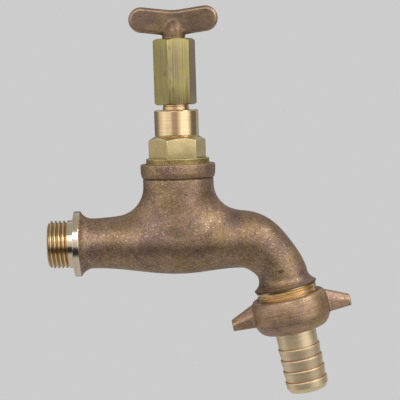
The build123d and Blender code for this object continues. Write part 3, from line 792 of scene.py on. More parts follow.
def inlet_skins(size, bore, at):
    """Machined inlet: bore, end face, thread, plain shank and wall flange, all one ring."""
    turns = circle(144)
    start, end = at.inlet_end, -size.plain_length
    crest = size.inlet_radius

    def limit(z):
        return np.minimum(crest, crest - 1.15 + (z - start) * 1.1)

    def fade(z):
        return np.clip((end - z) / 0.9, 0, 1)

    points, faces, ends = thread_skin(turns, crest, size.depth, size.pitch, start, end, limit, fade)
    thick = size.flange_thickness
    shank = softened([
        (crest, end),
        (crest, 0.0),
        (size.flange_radius, 0.0),
        (size.flange_radius, thick),
        (size.flange_radius - 1.4, thick + 0.25),
        (bore + 1.2, thick + 0.25),
    ], 0.3)
    mouth = [(bore, start + 6.0), (bore, start + 1.1), (bore + 0.7, start + 0.15), (bore + 0.95, start)]
    front = [*mouth, rows_from(ends[0])]
    back = [rows_from(ends[1]), *shank, (bore, thick + 0.25), (bore, start + 6.0)]
    return threaded(points, faces, front, back, turns, inlet_frame())


def outlet_skins(size, bore, at):
    """Machined outlet spigot: plain relief under the lip, thread, end face and bore."""
    turns = circle(160)
    start, end = 0.55, size.outlet_length
    crest = size.outlet_radius

    def limit(z):
        return np.minimum(crest, crest - 1.0 + (end - z) * 1.1)

    def fade(z):
        return np.clip((z - start) / 0.8, 0, 1)

    points, faces, ends = thread_skin(turns, crest, size.depth, size.pitch, start, end, limit, fade)
    front = [(bore, -1.0), (crest - 0.5, -1.0), (crest - 0.5, start - 0.15), rows_from(ends[0])]
    back = [rows_from(ends[1]), (bore + 0.9, end), (bore, end - 0.9), (bore, -1.0)]
    return threaded(points, faces, front, back, turns, outlet_frame(at))


# ---------------------------------------------------------------- hexagons and turned pieces


def hexagon(across, corner, turn):
    """Turns and radii of a hexagon with rounded corners, closely spaced at the corners.

    A flat's radius is (across / 2) / cos of the angle from its middle, and a corner's is that
    of a circle whose centre lies on the corner's line.
    """
    middle = (across / 2 - corner) / math.cos(math.pi / 6)
    tangent = math.atan2(corner / 2, middle + corner * math.cos(math.pi / 6))
    near = tangent * np.array([-1.5, -1, -0.66, -0.33, 0, 0.33, 0.66, 1, 1.5])
    flat = np.linspace(tangent * 2.4, math.pi / 3 - tangent * 2.4, 7)
    one = np.sort(np.concatenate([near, flat]))
    off = np.abs(np.where(one > math.pi / 6, one - math.pi / 3, one))
    straight = across / 2 / np.cos(math.pi / 6 - off)
    curved = middle * np.cos(off) + np.sqrt(np.maximum(corner**2 - (middle * np.sin(off)) ** 2, 0))
    radius = np.where(off < tangent, curved, straight)
    turns = np.concatenate([one + k * math.pi / 3 for k in range(6)]) + turn
    return turns, np.tile(radius, 6)


def bonnet_skin(size, at):
    """Bonnet: snout, neck thread, flange and chamfered hexagon outside, and its bores inside."""
    turns, hexa = hexagon(size.hexagon, size.hexagon_corner, size.hexagon_turn)
    slope = math.tan(math.radians(30))
    seat = at.collar_top
    flange_top = seat + size.flange_thickness
    top = at.hex_top
    face = size.guard_radius - 0.05
    crease = top - (hexa - face) * slope
    thread_low = seat - size.thread_length
    outside = softened([
        (size.snout_radius, at.bonnet_bottom),
        (size.snout_radius, thread_low),
        (size.thread_radius, thread_low),
        (size.thread_radius, seat),
        (size.flange_radius, seat),
        (size.flange_radius, flange_top),
        (size.flange_radius - 0.5, flange_top),
    ], 0.28)
    gland_floor, box_floor = seat + size.gland_floor, seat + size.box_floor
    inside = [
        (size.gland_bore, top),
        (size.gland_bore, gland_floor),
        (size.packing_bore, gland_floor),
        (size.packing_bore, box_floor),
        (size.shank_bore, box_floor),
        (size.shank_bore, box_floor - size.box_wall),
        (size.stem_bore, box_floor - size.box_wall),
        (size.stem_bore, at.bonnet_bottom),
    ]
    rim = [
        (hexa - 0.02, flange_top),
        (hexa, flange_top + 0.12),
        (hexa, (flange_top + crease) / 2),
        (hexa, crease - 0.22),
        (hexa - 0.03, crease - 0.07),
        (hexa - 0.12, crease + 0.05),
        (hexa - 0.35, crease + 0.2),
        ((hexa + face) / 2, (crease + top) / 2),
        (face + 0.1, top - 0.06),
        (face, top),
    ]
    return skin(placed(stacked([*outside, *rim, *inside], turns), upright(at.valve_x)), True)


def guard_skin(size, at):
    """Gland nut: turned skirt over the hexagon and a threaded part under it."""
    top, low, seat = at.guard_top, at.guard_bottom, at.hex_top
    shoulder = seat + size.guard_floor
    bore = size.shank_bore
    profile = [
        (bore, low),
        (size.gland_bore - 0.1, low),
        (size.gland_bore - 0.1, seat),
        (size.guard_radius - 0.35, seat),
        (size.guard_radius - 0.05, seat + 0.35),
        (size.guard_radius, top - 0.55),
        (size.guard_radius - 0.5, top),
        (size.guard_bore + 0.25, top),
        (size.guard_bore, top - 0.3),
        (size.guard_bore, shoulder),
        (bore, shoulder),
    ]
    return turned(profile, 0.16, 160, upright(at.valve_x))


def key_bar_skin(size, at):
    """Key bar: square hole, turned nose, hexagon with both ends turned off, and tang hole."""
    turns, hexa = hexagon(size.hexagon, size.corner, size.hexagon_turn)
    top = at.key_top
    shoulder = top - size.bar_length
    slope = math.tan(math.radians(25))
    face = size.hexagon / 2 - 0.15
    drop = (hexa - face) * slope
    low = at.key_bottom
    nose = size.nose_radius
    half = size.square / 2
    square = half / np.maximum(np.abs(np.cos(turns)), np.abs(np.sin(turns)))
    rows = [
        (0.0, low + size.square_depth),
        (square, low + size.square_depth),
        (square, low + 0.1),
        (square + 0.15, low),
        (nose - 0.45, low),
        (nose - 0.12, low + 0.1),
        (nose, low + 0.5),
        (nose, shoulder - 0.75),
        (nose - 0.22, shoulder - 0.5),
        (nose - 0.22, shoulder),
        (face, shoulder),
        (hexa - 0.25, shoulder + drop - 0.12),
        (hexa - 0.06, shoulder + drop + 0.02),
        (hexa, shoulder + drop + 0.18),
        (hexa, shoulder + size.bar_length * 0.33),
        (hexa, shoulder + size.bar_length * 0.67),
        (hexa, top - drop - 0.18),
        (hexa - 0.06, top - drop - 0.02),
        (hexa - 0.25, top - drop + 0.12),
        (face, top),
        (size.tang_radius + 0.1, top),
        (size.tang_radius + 0.1, top - size.tang_length),
        (0.0, top - size.tang_length),
    ]
    return skin(placed(stacked(rows, turns), upright(at.valve_x)))


def handle_skin(size, at):
    """T handle: two rounded arms with soft edges, a pointed round rib, a stem and a tang."""
    half = size.arm_height / 2
    centre = at.handle_top - half - size.arm_reach * math.sin(size.arm_rise)
    stem_low = at.key_top
    base = centre - half
    hub = np.array([0.0, centre])
    out_to, up_to = size.arm_reach * math.cos(size.arm_rise), size.arm_reach * math.sin(size.arm_rise)
    ends = [np.array([side * out_to, centre + up_to]) for side in (-1, 1)]

    def arms(points):
        flat = np.stack([points[:, 0], points[:, 2]], axis=1) - hub
        out = None
        for end in ends:
            run = end - hub
            share = np.clip(flat @ run / (run @ run), 0, 1)
            reach = np.linalg.norm(flat - share[:, None] * run, axis=1) - half
            out = reach if out is None else smooth_least(out, reach, 0.7)
        side = np.abs(points[:, 1]) - size.thickness / 2
        a, b = out + size.edge, side + size.edge
        return np.minimum(np.maximum(a, b), 0) + np.hypot(np.maximum(a, 0), np.maximum(b, 0)) - size.edge

    def stem(points):
        z = points[:, 2]
        share = np.clip((z - base) / size.rib_height, 0, 1)
        radius = size.stem_radius * np.sqrt(np.maximum(1 - share**1.9, 0))
        out = (np.hypot(points[:, 0], points[:, 1]) - radius) * 0.8
        out = np.maximum(out, stem_low + 0.05 - z)
        tang = np.hypot(points[:, 0], points[:, 1]) - size.tang_radius
        tang = np.maximum(np.maximum(tang, stem_low - size.tang_length + 0.1 - z), z - base)
        return np.minimum(out, tang)

    def field(points):
        return smooth_least(arms(points), stem(points), 0.7)

    wide = size.arm_reach + half + 1.5
    verts, faces = surface_of(
        field, (-wide, -size.stem_radius - 1.2, stem_low - size.tang_length - 1.2),
        (wide, size.stem_radius + 1.2, at.handle_top + 1.2), size.grid)
    return placed(verts, upright(at.valve_x)), faces


def nut_skin(size, at):
    """Wing nut: a turned barrel, two tapered six-sided wings with small fillets, and its bores."""
    top, bottom = at.nut_top, at.nut_bottom
    tall = bottom - top
    belly = top + tall * 0.44
    shoulder_turn = np.linspace(0, math.pi / 2, 7)
    foot_turn = np.linspace(0, math.pi / 2, 12)
    rim, wide, foot = size.nut_rim, size.nut_belly, size.nut_foot
    upper = np.stack([rim + (wide - rim) * np.sin(shoulder_turn),
                      belly - (belly - top) * np.cos(shoulder_turn)], 1)
    upper[:, 1] = np.maximum(upper[:, 1], top)
    under = belly + tall * 0.10
    lower = np.stack([foot + (wide - foot) * np.cos(foot_turn) ** 0.8,
                      under + (bottom - under) * np.sin(foot_turn) ** 1.15], 1)
    outline = np.concatenate([[[0.0, top]], upper, lower, [[0.0, bottom]]])
    turn = size.wing_turn
    root_at = 15.0
    # Corners of half a wing's section, at its root and at its tip: (half width, distance below the lip).
    root = np.array([[1.5, 4.5], [4.0, 8.6], [3.8, 14.8]])
    tip = np.array([[0.9, 9.6], [2.4, 11.4], [2.2, 14.35]])

    def barrel(points):
        flat = np.stack([np.hypot(points[:, 0], points[:, 1]), points[:, 2]], 1)
        return outline_distance(flat, outline) if len(points) else np.zeros(0)

    def wings(points):
        x = points[:, 0] * math.cos(turn) + points[:, 1] * math.sin(turn)
        y = -points[:, 0] * math.sin(turn) + points[:, 1] * math.cos(turn)
        share = np.clip((np.abs(x) - root_at) / (size.wing_tip - root_at), -0.6, 1.0)
        corners = root[:, :, None] * (1 - share) + tip[:, :, None] * share
        side, z = np.abs(y), points[:, 2]
        out = corners[0, 1] - z
        for low, high in ((0, 1), (1, 2)):
            run = corners[high] - corners[low]
            long = np.hypot(run[0], run[1])
            face = ((side - corners[low, 0]) * run[1] - (z - corners[low, 1]) * run[0]) / long
            out = smooth_most(out, face, 0.55)
        out = smooth_most(out, z - corners[2, 1], 0.55)
        out = smooth_most(out, np.abs(x) - size.wing_tip, 0.6)
        return np.maximum(out, 9.0 - np.abs(x))

    joined = rolled_union(barrel, wings, 1.1)

    def field(points):
        out_r = np.hypot(points[:, 0], points[:, 1])
        thread_hole = np.maximum(out_r - size.nut_bore, points[:, 2] - (bottom - size.nut_floor))
        hole = np.minimum(thread_hole, out_r - size.tail_hole)
        return smooth_most(joined(points), -hole, 0.35)

    reach = size.wing_tip + 1.2
    low, high = (-reach, -wide - 1.2, top - 1.2), (reach, wide + 1.2, bottom + 1.2)
    verts, faces = surface_of(field, low, high, size.grid)
    return placed(verts, outlet_frame(at)), faces


def tail_skin(size, at):
    """Hose tail: flange, plain neck, barbs that taper down to their roots, tip and bore."""
    top, bottom = at.tail_top, at.tail_bottom
    shoulder = at.nut_bottom - size.nut_floor
    first = bottom - size.barbs * size.barb_pitch
    profile = [
        (size.tail_bore, top),
        (size.tail_flange, top),
        (size.tail_flange, shoulder),
        (size.tail_radius - 0.25, shoulder),
        (size.tail_root + 0.1, first),
    ]
    for n in range(size.barbs):
        at_step = first + n * size.barb_pitch
        profile += [(size.barb_radius - 0.12, at_step + 0.02), (size.barb_radius, at_step + 0.5)]
        if n < size.barbs - 1:
            profile.append((size.tail_root, at_step + size.barb_pitch))
    profile += [
        (size.barb_radius - 0.15, bottom - 1.9),
        (size.tail_root - 0.75, bottom),
        (size.tail_bore + 0.35, bottom),
        (size.tail_bore, bottom - 0.5),
    ]
    return turned(profile, 0.13, 144, outlet_frame(at))


# ---------------------------------------------------------------- shader maths


class Value:
    """A number in a node tree. Each operator on it adds one Math node."""

    def __init__(self, nodes, socket):
        self.nodes = nodes
        self.socket = socket

    def __add__(self, other):
        return self.nodes.math("ADD", self, other)

    def __radd__(self, other):
        return self.nodes.math("ADD", other, self)

    def __sub__(self, other):
        return self.nodes.math("SUBTRACT", self, other)

    def __rsub__(self, other):
        return self.nodes.math("SUBTRACT", other, self)

    def __mul__(self, other):
        return self.nodes.math("MULTIPLY", self, other)

    def __rmul__(self, other):
        return self.nodes.math("MULTIPLY", other, self)

    def __truediv__(self, other):
        return self.nodes.math("DIVIDE", self, other)


class Nodes:
    """One node tree, and the few ways in which this file adds nodes to it."""

    def __init__(self, tree):
        self.tree = tree
        tree.nodes.clear()

    def node(self, kind, settings=None, inputs=None):
        """A node of that kind: its settings first, then the value or link of each input."""
        made = self.tree.nodes.new(kind)
        for key, value in (settings or {}).items():
            setattr(made, key, value)
        for key, value in (inputs or {}).items():
            socket = made.inputs[key]
            if isinstance(value, Value):
                self.tree.links.new(value.socket, socket)
            elif isinstance(value, bpy.types.NodeSocket):
                self.tree.links.new(value, socket)
            elif isinstance(value, (tuple, list)) and socket.type == "RGBA":
                socket.default_value = (*value[:3], 1.0)
            else:
                socket.default_value = value
        return made

    def math(self, operation, *terms):
        """One Math node as a Value."""
        made = self.node("ShaderNodeMath", {"operation": operation}, dict(enumerate(terms)))
        return Value(self, made.outputs[0])

    def vector(self, operation, *terms):
        """One Vector Math node: its vector, or its number for a dot product or a length."""
        made = self.node("ShaderNodeVectorMath", {"operation": operation}, dict(enumerate(terms)))
        if operation in {"DOT_PRODUCT", "LENGTH"}:
            return Value(self, made.outputs["Value"])
        return made.outputs["Vector"]

    def scaled(self, vector, number):
        """A vector times a number or a Value."""
        made = self.node("ShaderNodeVectorMath", {"operation": "SCALE"}, {0: vector, "Scale": number})
        return made.outputs["Vector"]

    def place(self):
        """Object coordinates, in metres."""
        return self.node("ShaderNodeTexCoord").outputs["Object"]

    def noise(self, vector, scale, detail=2.0, roughness=0.5, distortion=0.0):
        """Noise in space, about 0.5."""
        made = self.node("ShaderNodeTexNoise", {}, {
            "Vector": vector, "Scale": scale, "Detail": detail, "Roughness": roughness,
            "Distortion": distortion})
        return Value(self, made.outputs["Fac"])

    def line_noise(self, distance, scale, detail=2.0):
        """Noise along one number, for lines left by a tool."""
        made = self.node("ShaderNodeTexNoise", {"noise_dimensions": "1D"}, {
            "W": distance, "Scale": scale, "Detail": detail})
        return Value(self, made.outputs["Fac"])

    def cells(self, vector, scale):
        """One random number for each cell of that size."""
        made = self.node("ShaderNodeTexVoronoi", {}, {"Vector": vector, "Scale": scale})
        split = self.node("ShaderNodeSeparateColor", {}, {0: made.outputs["Color"]})
        return Value(self, split.outputs[0])

    def step(self, value, low, high):
        """Zero below low, one above high, smooth between."""
        made = self.node("ShaderNodeMapRange", {"interpolation_type": "SMOOTHSTEP"}, {
            "Value": value, "From Min": low, "From Max": high})
        return Value(self, made.outputs["Result"])

    def mix(self, share, first, second, blend="MIX"):
        """Colour between two colours, or another blend of them."""
        made = self.node("ShaderNodeMix", {"data_type": "RGBA", "blend_type": blend}, {
            0: share, 6: first, 7: second})
        return made.outputs[2]

    def shaded(self, tone, amount):
        """A colour multiplied by a Value."""
        grey = self.node("ShaderNodeCombineColor", {}, {0: amount, 1: amount, 2: amount})
        return self.mix(1.0, tone, grey.outputs[0], "MULTIPLY")

    def attribute(self, name):
        """A number stored on the mesh."""
        made = self.node("ShaderNodeAttribute", {"attribute_name": name})
        return Value(self, made.outputs["Fac"])

    def split(self, vector):
        """The three parts of a vector."""
        made = self.node("ShaderNodeSeparateXYZ", {}, {0: vector})
        return [Value(self, made.outputs[k]) for k in range(3)]

    def stretched(self, vector, stretch):
        """A vector multiplied part by part."""
        return self.vector("MULTIPLY", vector, stretch)

    def bump(self, height, strength, distance, normal=None):
        """Normal tipped by a height."""
        inputs = {"Height": height, "Strength": strength, "Distance": distance}
        if normal is not None:
            inputs["Normal"] = normal
        return self.node("ShaderNodeBump", {}, inputs).outputs["Normal"]

    def surface(self, tone, roughness, normal, metallic=1.0):
        """Principled surface into the material's output."""
        shader = self.node("ShaderNodeBsdfPrincipled", {}, {
            "Base Color": tone, "Roughness": roughness, "Metallic": metallic, "Normal": normal})
        self.node("ShaderNodeOutputMaterial", {}, {"Surface": shader.outputs[0]})


def new_material(name):
    """An empty material and its nodes."""
    material = bpy.data.materials.new("bib_" + name)
    material.use_nodes = True
    return material, Nodes(material.node_tree)


def lathe_distance(nodes, origin, axis):
    """Distance along an axis, and distance from it. Their sum grows across every turned face."""
    rel = nodes.vector("SUBTRACT", nodes.place(), tuple(float(c) * MM for c in origin))
    along = nodes.vector("DOT_PRODUCT", rel, tuple(float(c) for c in axis))
    away = nodes.vector("SUBTRACT", rel, nodes.scaled(tuple(float(c) for c in axis), along))
    return along, nodes.vector("LENGTH", away)


# ---------------------------------------------------------------- finishes


def cast_bronze(name, tones, grain=1500.0, depth=1.0, worn=0.6, edges=(0.10, 0.55), brushed=0.0,
                shade=(1.0, 1.0, 1.0)):
    """Sand-cast, tumbled bronze: brown, ochre and grey blotches, fine grain, specks, worn edges.

    At full depth and unbrushed it is the body's own skin, with the body's painted light and shade and one darkened
    dent.
    """
    material, n = new_material(name)
    p = n.place()
    blotch = n.noise(p, 62.0, 4.0, 0.62, 0.4)
    hue = n.noise(n.vector("ADD", p, (0.31, 0.12, 0.07)), 88.0, 3.0, 0.6)
    patch = n.noise(p, 230.0, 3.0, 0.6)
    fine = n.noise(p, grain, 3.0, 0.7)
    grit = n.noise(p, grain * 2.3, 1.0, 0.5)
    speck = n.step(n.cells(p, grain * 1.1), 0.82, 0.95) * depth
    pit = n.step(n.cells(n.vector("ADD", p, (0.3, 0.1, 0.7)), grain * 0.8), 0.86, 0.97) * depth
    base = n.mix(n.step(blotch * 0.6 + patch * 0.4, 0.36, 0.64), tones.bronze_mid, tones.bronze_warm)
    base = n.mix(n.step(hue, 0.52, 0.62) * 0.58, base, tones.bronze_ochre)
    base = n.mix(n.step(hue, 0.47, 0.37) * 0.7, base, tones.bronze_grey)
    base = n.mix(n.step(patch * 0.5 + blotch * 0.5, 0.50, 0.36) * 0.32, base, tones.bronze_dark)
    grain_share = n.step(fine * 0.65 + grit * 0.35, 0.36, 0.64)
    base = n.shaded(base, (1 - 0.34 * depth) + grain_share * (0.66 * depth))
    base = n.mix(speck * 0.45, base, tones.bronze_light)
    base = n.mix(pit * 0.28, base, tones.bronze_dark)
    base = n.mix(1.0, base, shade, "MULTIPLY")
    edge = n.step(n.attribute("edge") + (fine - 0.5) * 0.12, *edges) * worn
    base = n.mix(edge, base, tones.bronze_light)
    along, _ = lathe_distance(n, *tones.outlet)
    if not brushed and depth == 1.0:
        base = body_shading_and_dent(n, tones, base, along, fine)
    rough = 0.44 + (fine - 0.5) * (0.5 * depth) - speck * 0.2 - edge * 0.1
    height = fine * 0.7 + grit * 0.3
    if brushed:
        lines = n.line_noise(along + (patch - 0.5) * 0.002, 2300.0, 3.0)
        height = height * (1 - brushed) + lines * brushed
        base = n.mix(n.step(lines, 0.48, 0.70) * (0.6 * brushed), base, tones.bronze_light)
        base = n.mix(n.step(lines, 0.46, 0.28) * (0.5 * brushed), base, tones.bronze_dark)
    broad = n.bump(patch, 0.3, 0.0005)
    normal = n.bump(height, 0.8 * depth, 0.00024, broad)
    n.surface(base, rough, normal, metallic=0.9)
    return material


def body_shading_and_dent(n, tones, base, along, fine):
    """Painted light and shade on the body over a base tone: lighter high round the valve, a darker belt across its
    middle, painted shade under the collar and on the lip's rim, and one darkened dent.
    """
    p = n.place()
    x, _, z = n.split(p)
    by_valve = n.step(n.math("ABSOLUTE", x - tones.valve_x * MM), 20 * MM, 9 * MM)
    # Painted light and shade: lighter high round the valve, a darker belt across the tube's middle there.
    painted_shade_belt = n.step(z, 7 * MM, 3 * MM) * n.step(z, -6 * MM, -2 * MM)
    painted_light_and_shade = by_valve * (n.step(z, 6 * MM, 10 * MM) * 0.20 - painted_shade_belt * 0.24)
    under_collar = n.math("ABSOLUTE", z - tones.collar_foot * MM)
    # Painted shade in the crease under the collar and on the outlet lip's rim face.
    crevice_shade = n.step(under_collar, 0.75 * MM, 0.15 * MM) + n.step(along, -0.9 * MM, -0.4 * MM)
    spot = n.vector("SUBTRACT", p, tuple(c * MM for c in tones.dent))
    dent = n.vector("LENGTH", n.stretched(spot, (0.7, 0.35, 1.2))) + (fine - 0.5) * 0.0012
    hollow = n.step(dent, 1.35 * MM, 0.45 * MM)
    base = n.shaded(base, 1 + painted_light_and_shade)
    return n.mix(n.math("MAXIMUM", crevice_shade * 0.7, hollow * 0.6), base, tones.bronze_deep)


def turned_brass(name, origin, axis, main, second, rough=0.24, lines=0.35, blotch=0.5, root=None, barbs=None,
                 pale=None, streak=None):
    """Turned brass: fine rings across every turned face, and soft blotches of a second tone.

    root is a (radius, tone) for painted shade in a thread's roots, barbs is (first, pitch, last, tone) for painted
    shade lines at the feet of the steps, pale is (distance along the axis, tone) for a paler shank, and streak is
    (x, tone) for a painted reflection, a warm stripe down the front.
    """
    material, n = new_material(name)
    p = n.place()
    along, away = lathe_distance(n, origin, axis)
    ring = n.line_noise(along + away, 5200.0, 3.0)
    wide = n.line_noise(along + away, 900.0, 2.0)
    patch = n.noise(p, 160.0, 3.0, 0.6)
    if pale is not None:
        main = n.mix(n.step(along, (pale[0] - 0.2) * MM, (pale[0] + 0.2) * MM), main, pale[1])
    base = n.mix(n.step(patch, 0.42, 0.66) * blotch, main, second)
    base = n.shaded(base, 1 - n.step(ring * 0.6 + wide * 0.4, 0.50, 0.68) * (lines * 0.55))
    # Painted reflection: a warm stripe down the front of the gland nut.
    if streak is not None:
        x, y, _ = n.split(p)
        off = n.math("ABSOLUTE", x - streak[0] * MM + (wide - 0.5) * 0.0006)
        base = n.mix(n.step(off, 3.0 * MM, 0.4 * MM) * n.step(y, 0.0, -4 * MM) * 0.7, base, streak[1])
    roughness = rough + (ring - 0.5) * 0.22 + (patch - 0.5) * 0.12
    # Painted shade in the thread's roots.
    if root is not None:
        root_shade = n.step(away, (root[0] - 0.45) * MM, (root[0] - 0.95) * MM)
        base = n.mix(root_shade * 0.75, base, root[1])
        roughness = roughness + root_shade * 0.15
    # Painted shade: a dark line at the foot of each barb's step.
    if barbs is not None:
        first, pitch, last, tone = barbs
        share = n.math("FRACT", (along - (first - 40 * pitch) * MM) / (pitch * MM))
        line = n.step(share, 0.90, 0.97) + n.step(share, 0.035, 0.0)
        line = line * n.step(along, (first - 0.6) * MM, (first - 0.3) * MM)
        line = line * n.step(along, (last - 1) * MM, (last - 2) * MM)
        base = n.mix(line * 0.75, base, tone)
    normal = n.bump(ring * 0.6 + wide * 0.4, lines * 0.5, 0.00006)
    n.surface(base, roughness, normal)
    return material


def drawn_brass(name, tones, at):
    """Drawn hexagon bar: olive brass with lines along the bar, grey tarnish and small pits."""
    material, n = new_material(name)
    p = n.place()
    x, _, z = n.split(p)
    draw = n.noise(n.stretched(p, (1.0, 1.0, 0.035)), 1500.0, 3.0, 0.6)
    band = n.noise(n.stretched(p, (1.0, 1.0, 0.10)), 330.0, 2.0, 0.5)
    patch = n.noise(p, 120.0, 4.0, 0.6)
    pits = n.step(n.cells(n.stretched(p, (1.0, 1.0, 0.6)), 900.0), 0.93, 0.99)
    base = n.mix(n.step(patch * 0.6 + band * 0.4, 0.44, 0.62) * 0.75, tones.brass_olive, tones.brass_grey)
    base = n.mix(n.step(draw, 0.5, 0.68) * 0.6, base, tuple(c * 1.5 for c in tones.brass_olive))
    base = n.mix(n.step(draw, 0.47, 0.30) * 0.6, base, tuple(c * 0.5 for c in tones.brass_olive))
    base = n.mix(pits * 0.4, base, tuple(c * 0.4 for c in tones.brass_grey))
    # The faces right of the axis take the grey tone over most of their width.
    base = n.mix(n.step(x, (at.valve_x + 5.9) * MM, (at.valve_x + 6.5) * MM) * 0.8, base, tones.brass_grey)
    nose = n.step(z, (at.key_shoulder + 0.1) * MM, (at.key_shoulder - 0.1) * MM)
    base = n.mix(nose, base, tones.brass_pink)
    edge = n.step(n.attribute("edge"), 0.12, 0.5)
    base = n.mix(edge * 0.35, base, tuple(min(c * 1.7, 1) for c in tones.brass_olive))
    rough = (0.40 + (draw - 0.5) * 0.25 + (patch - 0.5) * 0.2) * (1 - nose) + nose * 0.2
    normal = n.bump(draw * 0.8 + band * 0.2, 0.3, 0.0001)
    n.surface(base, rough, normal)
    return material


def forged_brass(name, tones, at):
    """Bonnet: milled green-gold flats over a duller, stained flange."""
    material, n = new_material(name)
    p = n.place()
    _, _, z = n.split(p)
    green = tones.brass_green
    patch = n.noise(p, 150.0, 4.0, 0.6)
    mill = n.noise(n.stretched(p, (0.25, 0.25, 1.0)), 1600.0, 3.0, 0.6)
    fine = n.noise(p, 1100.0, 2.0, 0.6)
    base = n.mix(n.step(patch, 0.4, 0.66) * 0.55, green, tuple(c * 0.72 for c in green))
    base = n.mix(n.step(mill, 0.52, 0.76) * 0.3, base, tuple(min(c * 1.35, 1) for c in green))
    flange = n.step(z, (at.flange_top + 0.25) * MM, (at.flange_top - 0.05) * MM)
    stain = n.step(patch * 0.5 + fine * 0.5, 0.40, 0.60)
    base = n.mix(flange, base, n.mix(stain, tuple(c * 0.5 for c in tones.brass_dull), tones.brass_dull))
    edge = n.step(n.attribute("edge"), 0.12, 0.5)
    base = n.mix(edge * 0.8, base, tuple(min(c * 2.2, 1) for c in green))
    rough = 0.30 + (patch - 0.5) * 0.2 + (mill - 0.5) * 0.15 + flange * 0.16
    normal = n.bump(mill * 0.6 + fine * 0.4, 0.22, 0.00008)
    n.surface(base, rough, normal)
    return material


def plain_finish(name, main, second, scale, rough, depth, metallic=0.0):
    """Hidden pieces: two tones in small patches, with a matching bump."""
    material, n = new_material(name)
    p = n.place()
    patch = n.noise(p, scale, 3.0, 0.6)
    fine = n.noise(p, scale * 6, 2.0, 0.6)
    base = n.mix(n.step(patch * 0.6 + fine * 0.4, 0.4, 0.62), main, second)
    normal = n.bump(fine, 0.35, depth)
    n.surface(base, rough + (fine - 0.5) * 0.2, normal, metallic=metallic)
    return material


def braided_finish(name, main, second):
    """Graphited packing yarn: crossing strands worked out from two slanted waves."""
    material, n = new_material(name)
    p = n.place()
    one = n.node("ShaderNodeTexWave", {"wave_type": "BANDS", "bands_direction": "DIAGONAL"}, {
        "Vector": p, "Scale": 420.0, "Distortion": 1.5})
    other = n.node("ShaderNodeTexWave", {"wave_type": "BANDS", "bands_direction": "DIAGONAL"}, {
        "Vector": n.stretched(p, (1.0, -1.0, -1.0)), "Scale": 420.0, "Distortion": 1.5})
    weave = n.math("MAXIMUM", Value(n, one.outputs["Fac"]), Value(n, other.outputs["Fac"]))
    n.surface(n.mix(weave, main, second), 0.7, n.bump(weave, 0.6, 0.0002), metallic=0.0)
    return material


def finishes(scene, at):
    """Every finish, by the name that the pieces ask for."""
    tones = in_mm(scene.bib_finish)
    for key, value in vars(tones).items():
        setattr(tones, key, tuple(value))
    tones.bronze_warm = tuple(0.62 * a + 0.38 * b for a, b in zip(tones.bronze_mid, tones.bronze_light))
    tones.collar_foot = at.collar_top - in_mm(scene.bib_casting).collar_height - 0.25
    tones.dent = (at.lip[0] - 2.3, -10.6, at.lip[2] + 7.9)
    tones.outlet = (at.lip, at.outlet_axis)
    tones.valve_x = at.valve_x
    valve = ((at.valve_x, 0, 0), (0, 0, 1))
    inlet = ((0, 0, 0), (1, 0, 0))
    threads, union = in_mm(scene.bib_threads), in_mm(scene.bib_union)
    first_barb = at.tail_bottom - union.barbs * union.barb_pitch
    return {
        "cast_bronze": lambda: cast_bronze("cast_bronze", tones),
        "handle_bronze": lambda: cast_bronze(
            "handle_bronze", tones, grain=1200.0, depth=0.4, worn=0.7, edges=(0.09, 0.26),
            shade=(0.65, 0.66, 0.60)),
        "nut_bronze": lambda: cast_bronze(
            "nut_bronze", tones, grain=1200.0, depth=0.5, worn=0.9, edges=(0.08, 0.26), brushed=0.7,
            shade=(1.38, 1.36, 1.34)),
        "inlet_brass": lambda: turned_brass(
            "inlet_brass", *inlet, tones.thread_gold, tones.brass_bright, rough=0.15, lines=0.3,
            root=(threads.inlet_radius, tones.thread_root_shade),
            pale=(-threads.plain_length, tones.shank_pale)),
        "outlet_brass": lambda: turned_brass(
            "outlet_brass", *tones.outlet, tones.thread_gold, tones.brass_bright, rough=0.17, lines=0.3,
            root=(threads.outlet_radius, tones.thread_gold)),
        "guard_brass": lambda: turned_brass(
            "guard_brass", *valve, tones.brass_bright, tones.brass_pink, rough=0.12, lines=0.35,
            streak=(at.valve_x - 0.4, tones.painted_reflection_brown)),
        "tail_brass": lambda: turned_brass(
            "tail_brass", *tones.outlet, tones.brass_satin, tones.brass_bright, rough=0.44, lines=0.45,
            barbs=(first_barb, union.barb_pitch, at.tail_bottom, tones.barb_foot_shade)),
        "key_brass": lambda: drawn_brass("key_brass", tones, at),
        "bonnet_brass": lambda: forged_brass("bonnet_brass", tones, at),
        "inner_brass": lambda: turned_brass(
            "inner_brass", *valve, tones.brass_satin, tones.thread_gold, rough=0.3, lines=0.4),
        "spring_steel": lambda: plain_finish(
            "spring_steel", (0.45, 0.45, 0.46), (0.6, 0.6, 0.6), 300.0, 0.3, 0.00003, 1.0),
        "black_rubber": lambda: plain_finish(
            "black_rubber", (0.018, 0.018, 0.018), (0.035, 0.034, 0.033), 200.0, 0.7, 0.00008),
        "red_fibre": lambda: plain_finish(
            "red_fibre", (0.16, 0.04, 0.025), (0.24, 0.06, 0.035), 260.0, 0.75, 0.00012),
        "packing_yarn": lambda: braided_finish("packing_yarn", (0.02, 0.02, 0.02), (0.10, 0.10, 0.10)),
    }


def finish(scene, at, name):
    """The finish of that name, made the first time it is asked for."""
    return bpy.data.materials.get("bib_" + name) or finishes(scene, at)[name]()


def coat(piece, material):
    """Gives a new piece its one material."""
    piece.data.materials.clear()
    piece.data.materials.append(material)


# ---------------------------------------------------------------- operators


class Builder:
    """What every operator shares: the places from the frame and the user's sizes in millimetres."""

    bl_options = {"REGISTER", "UNDO"}

    def setting(self, context, group):
        at = places()
        at.key_shoulder = at.key_top - in_mm(context.scene.bib_key).bar_length
        at.flange_top = at.collar_top + in_mm(context.scene.bib_headwork).flange_thickness
        return at, in_mm(getattr(context.scene, group))


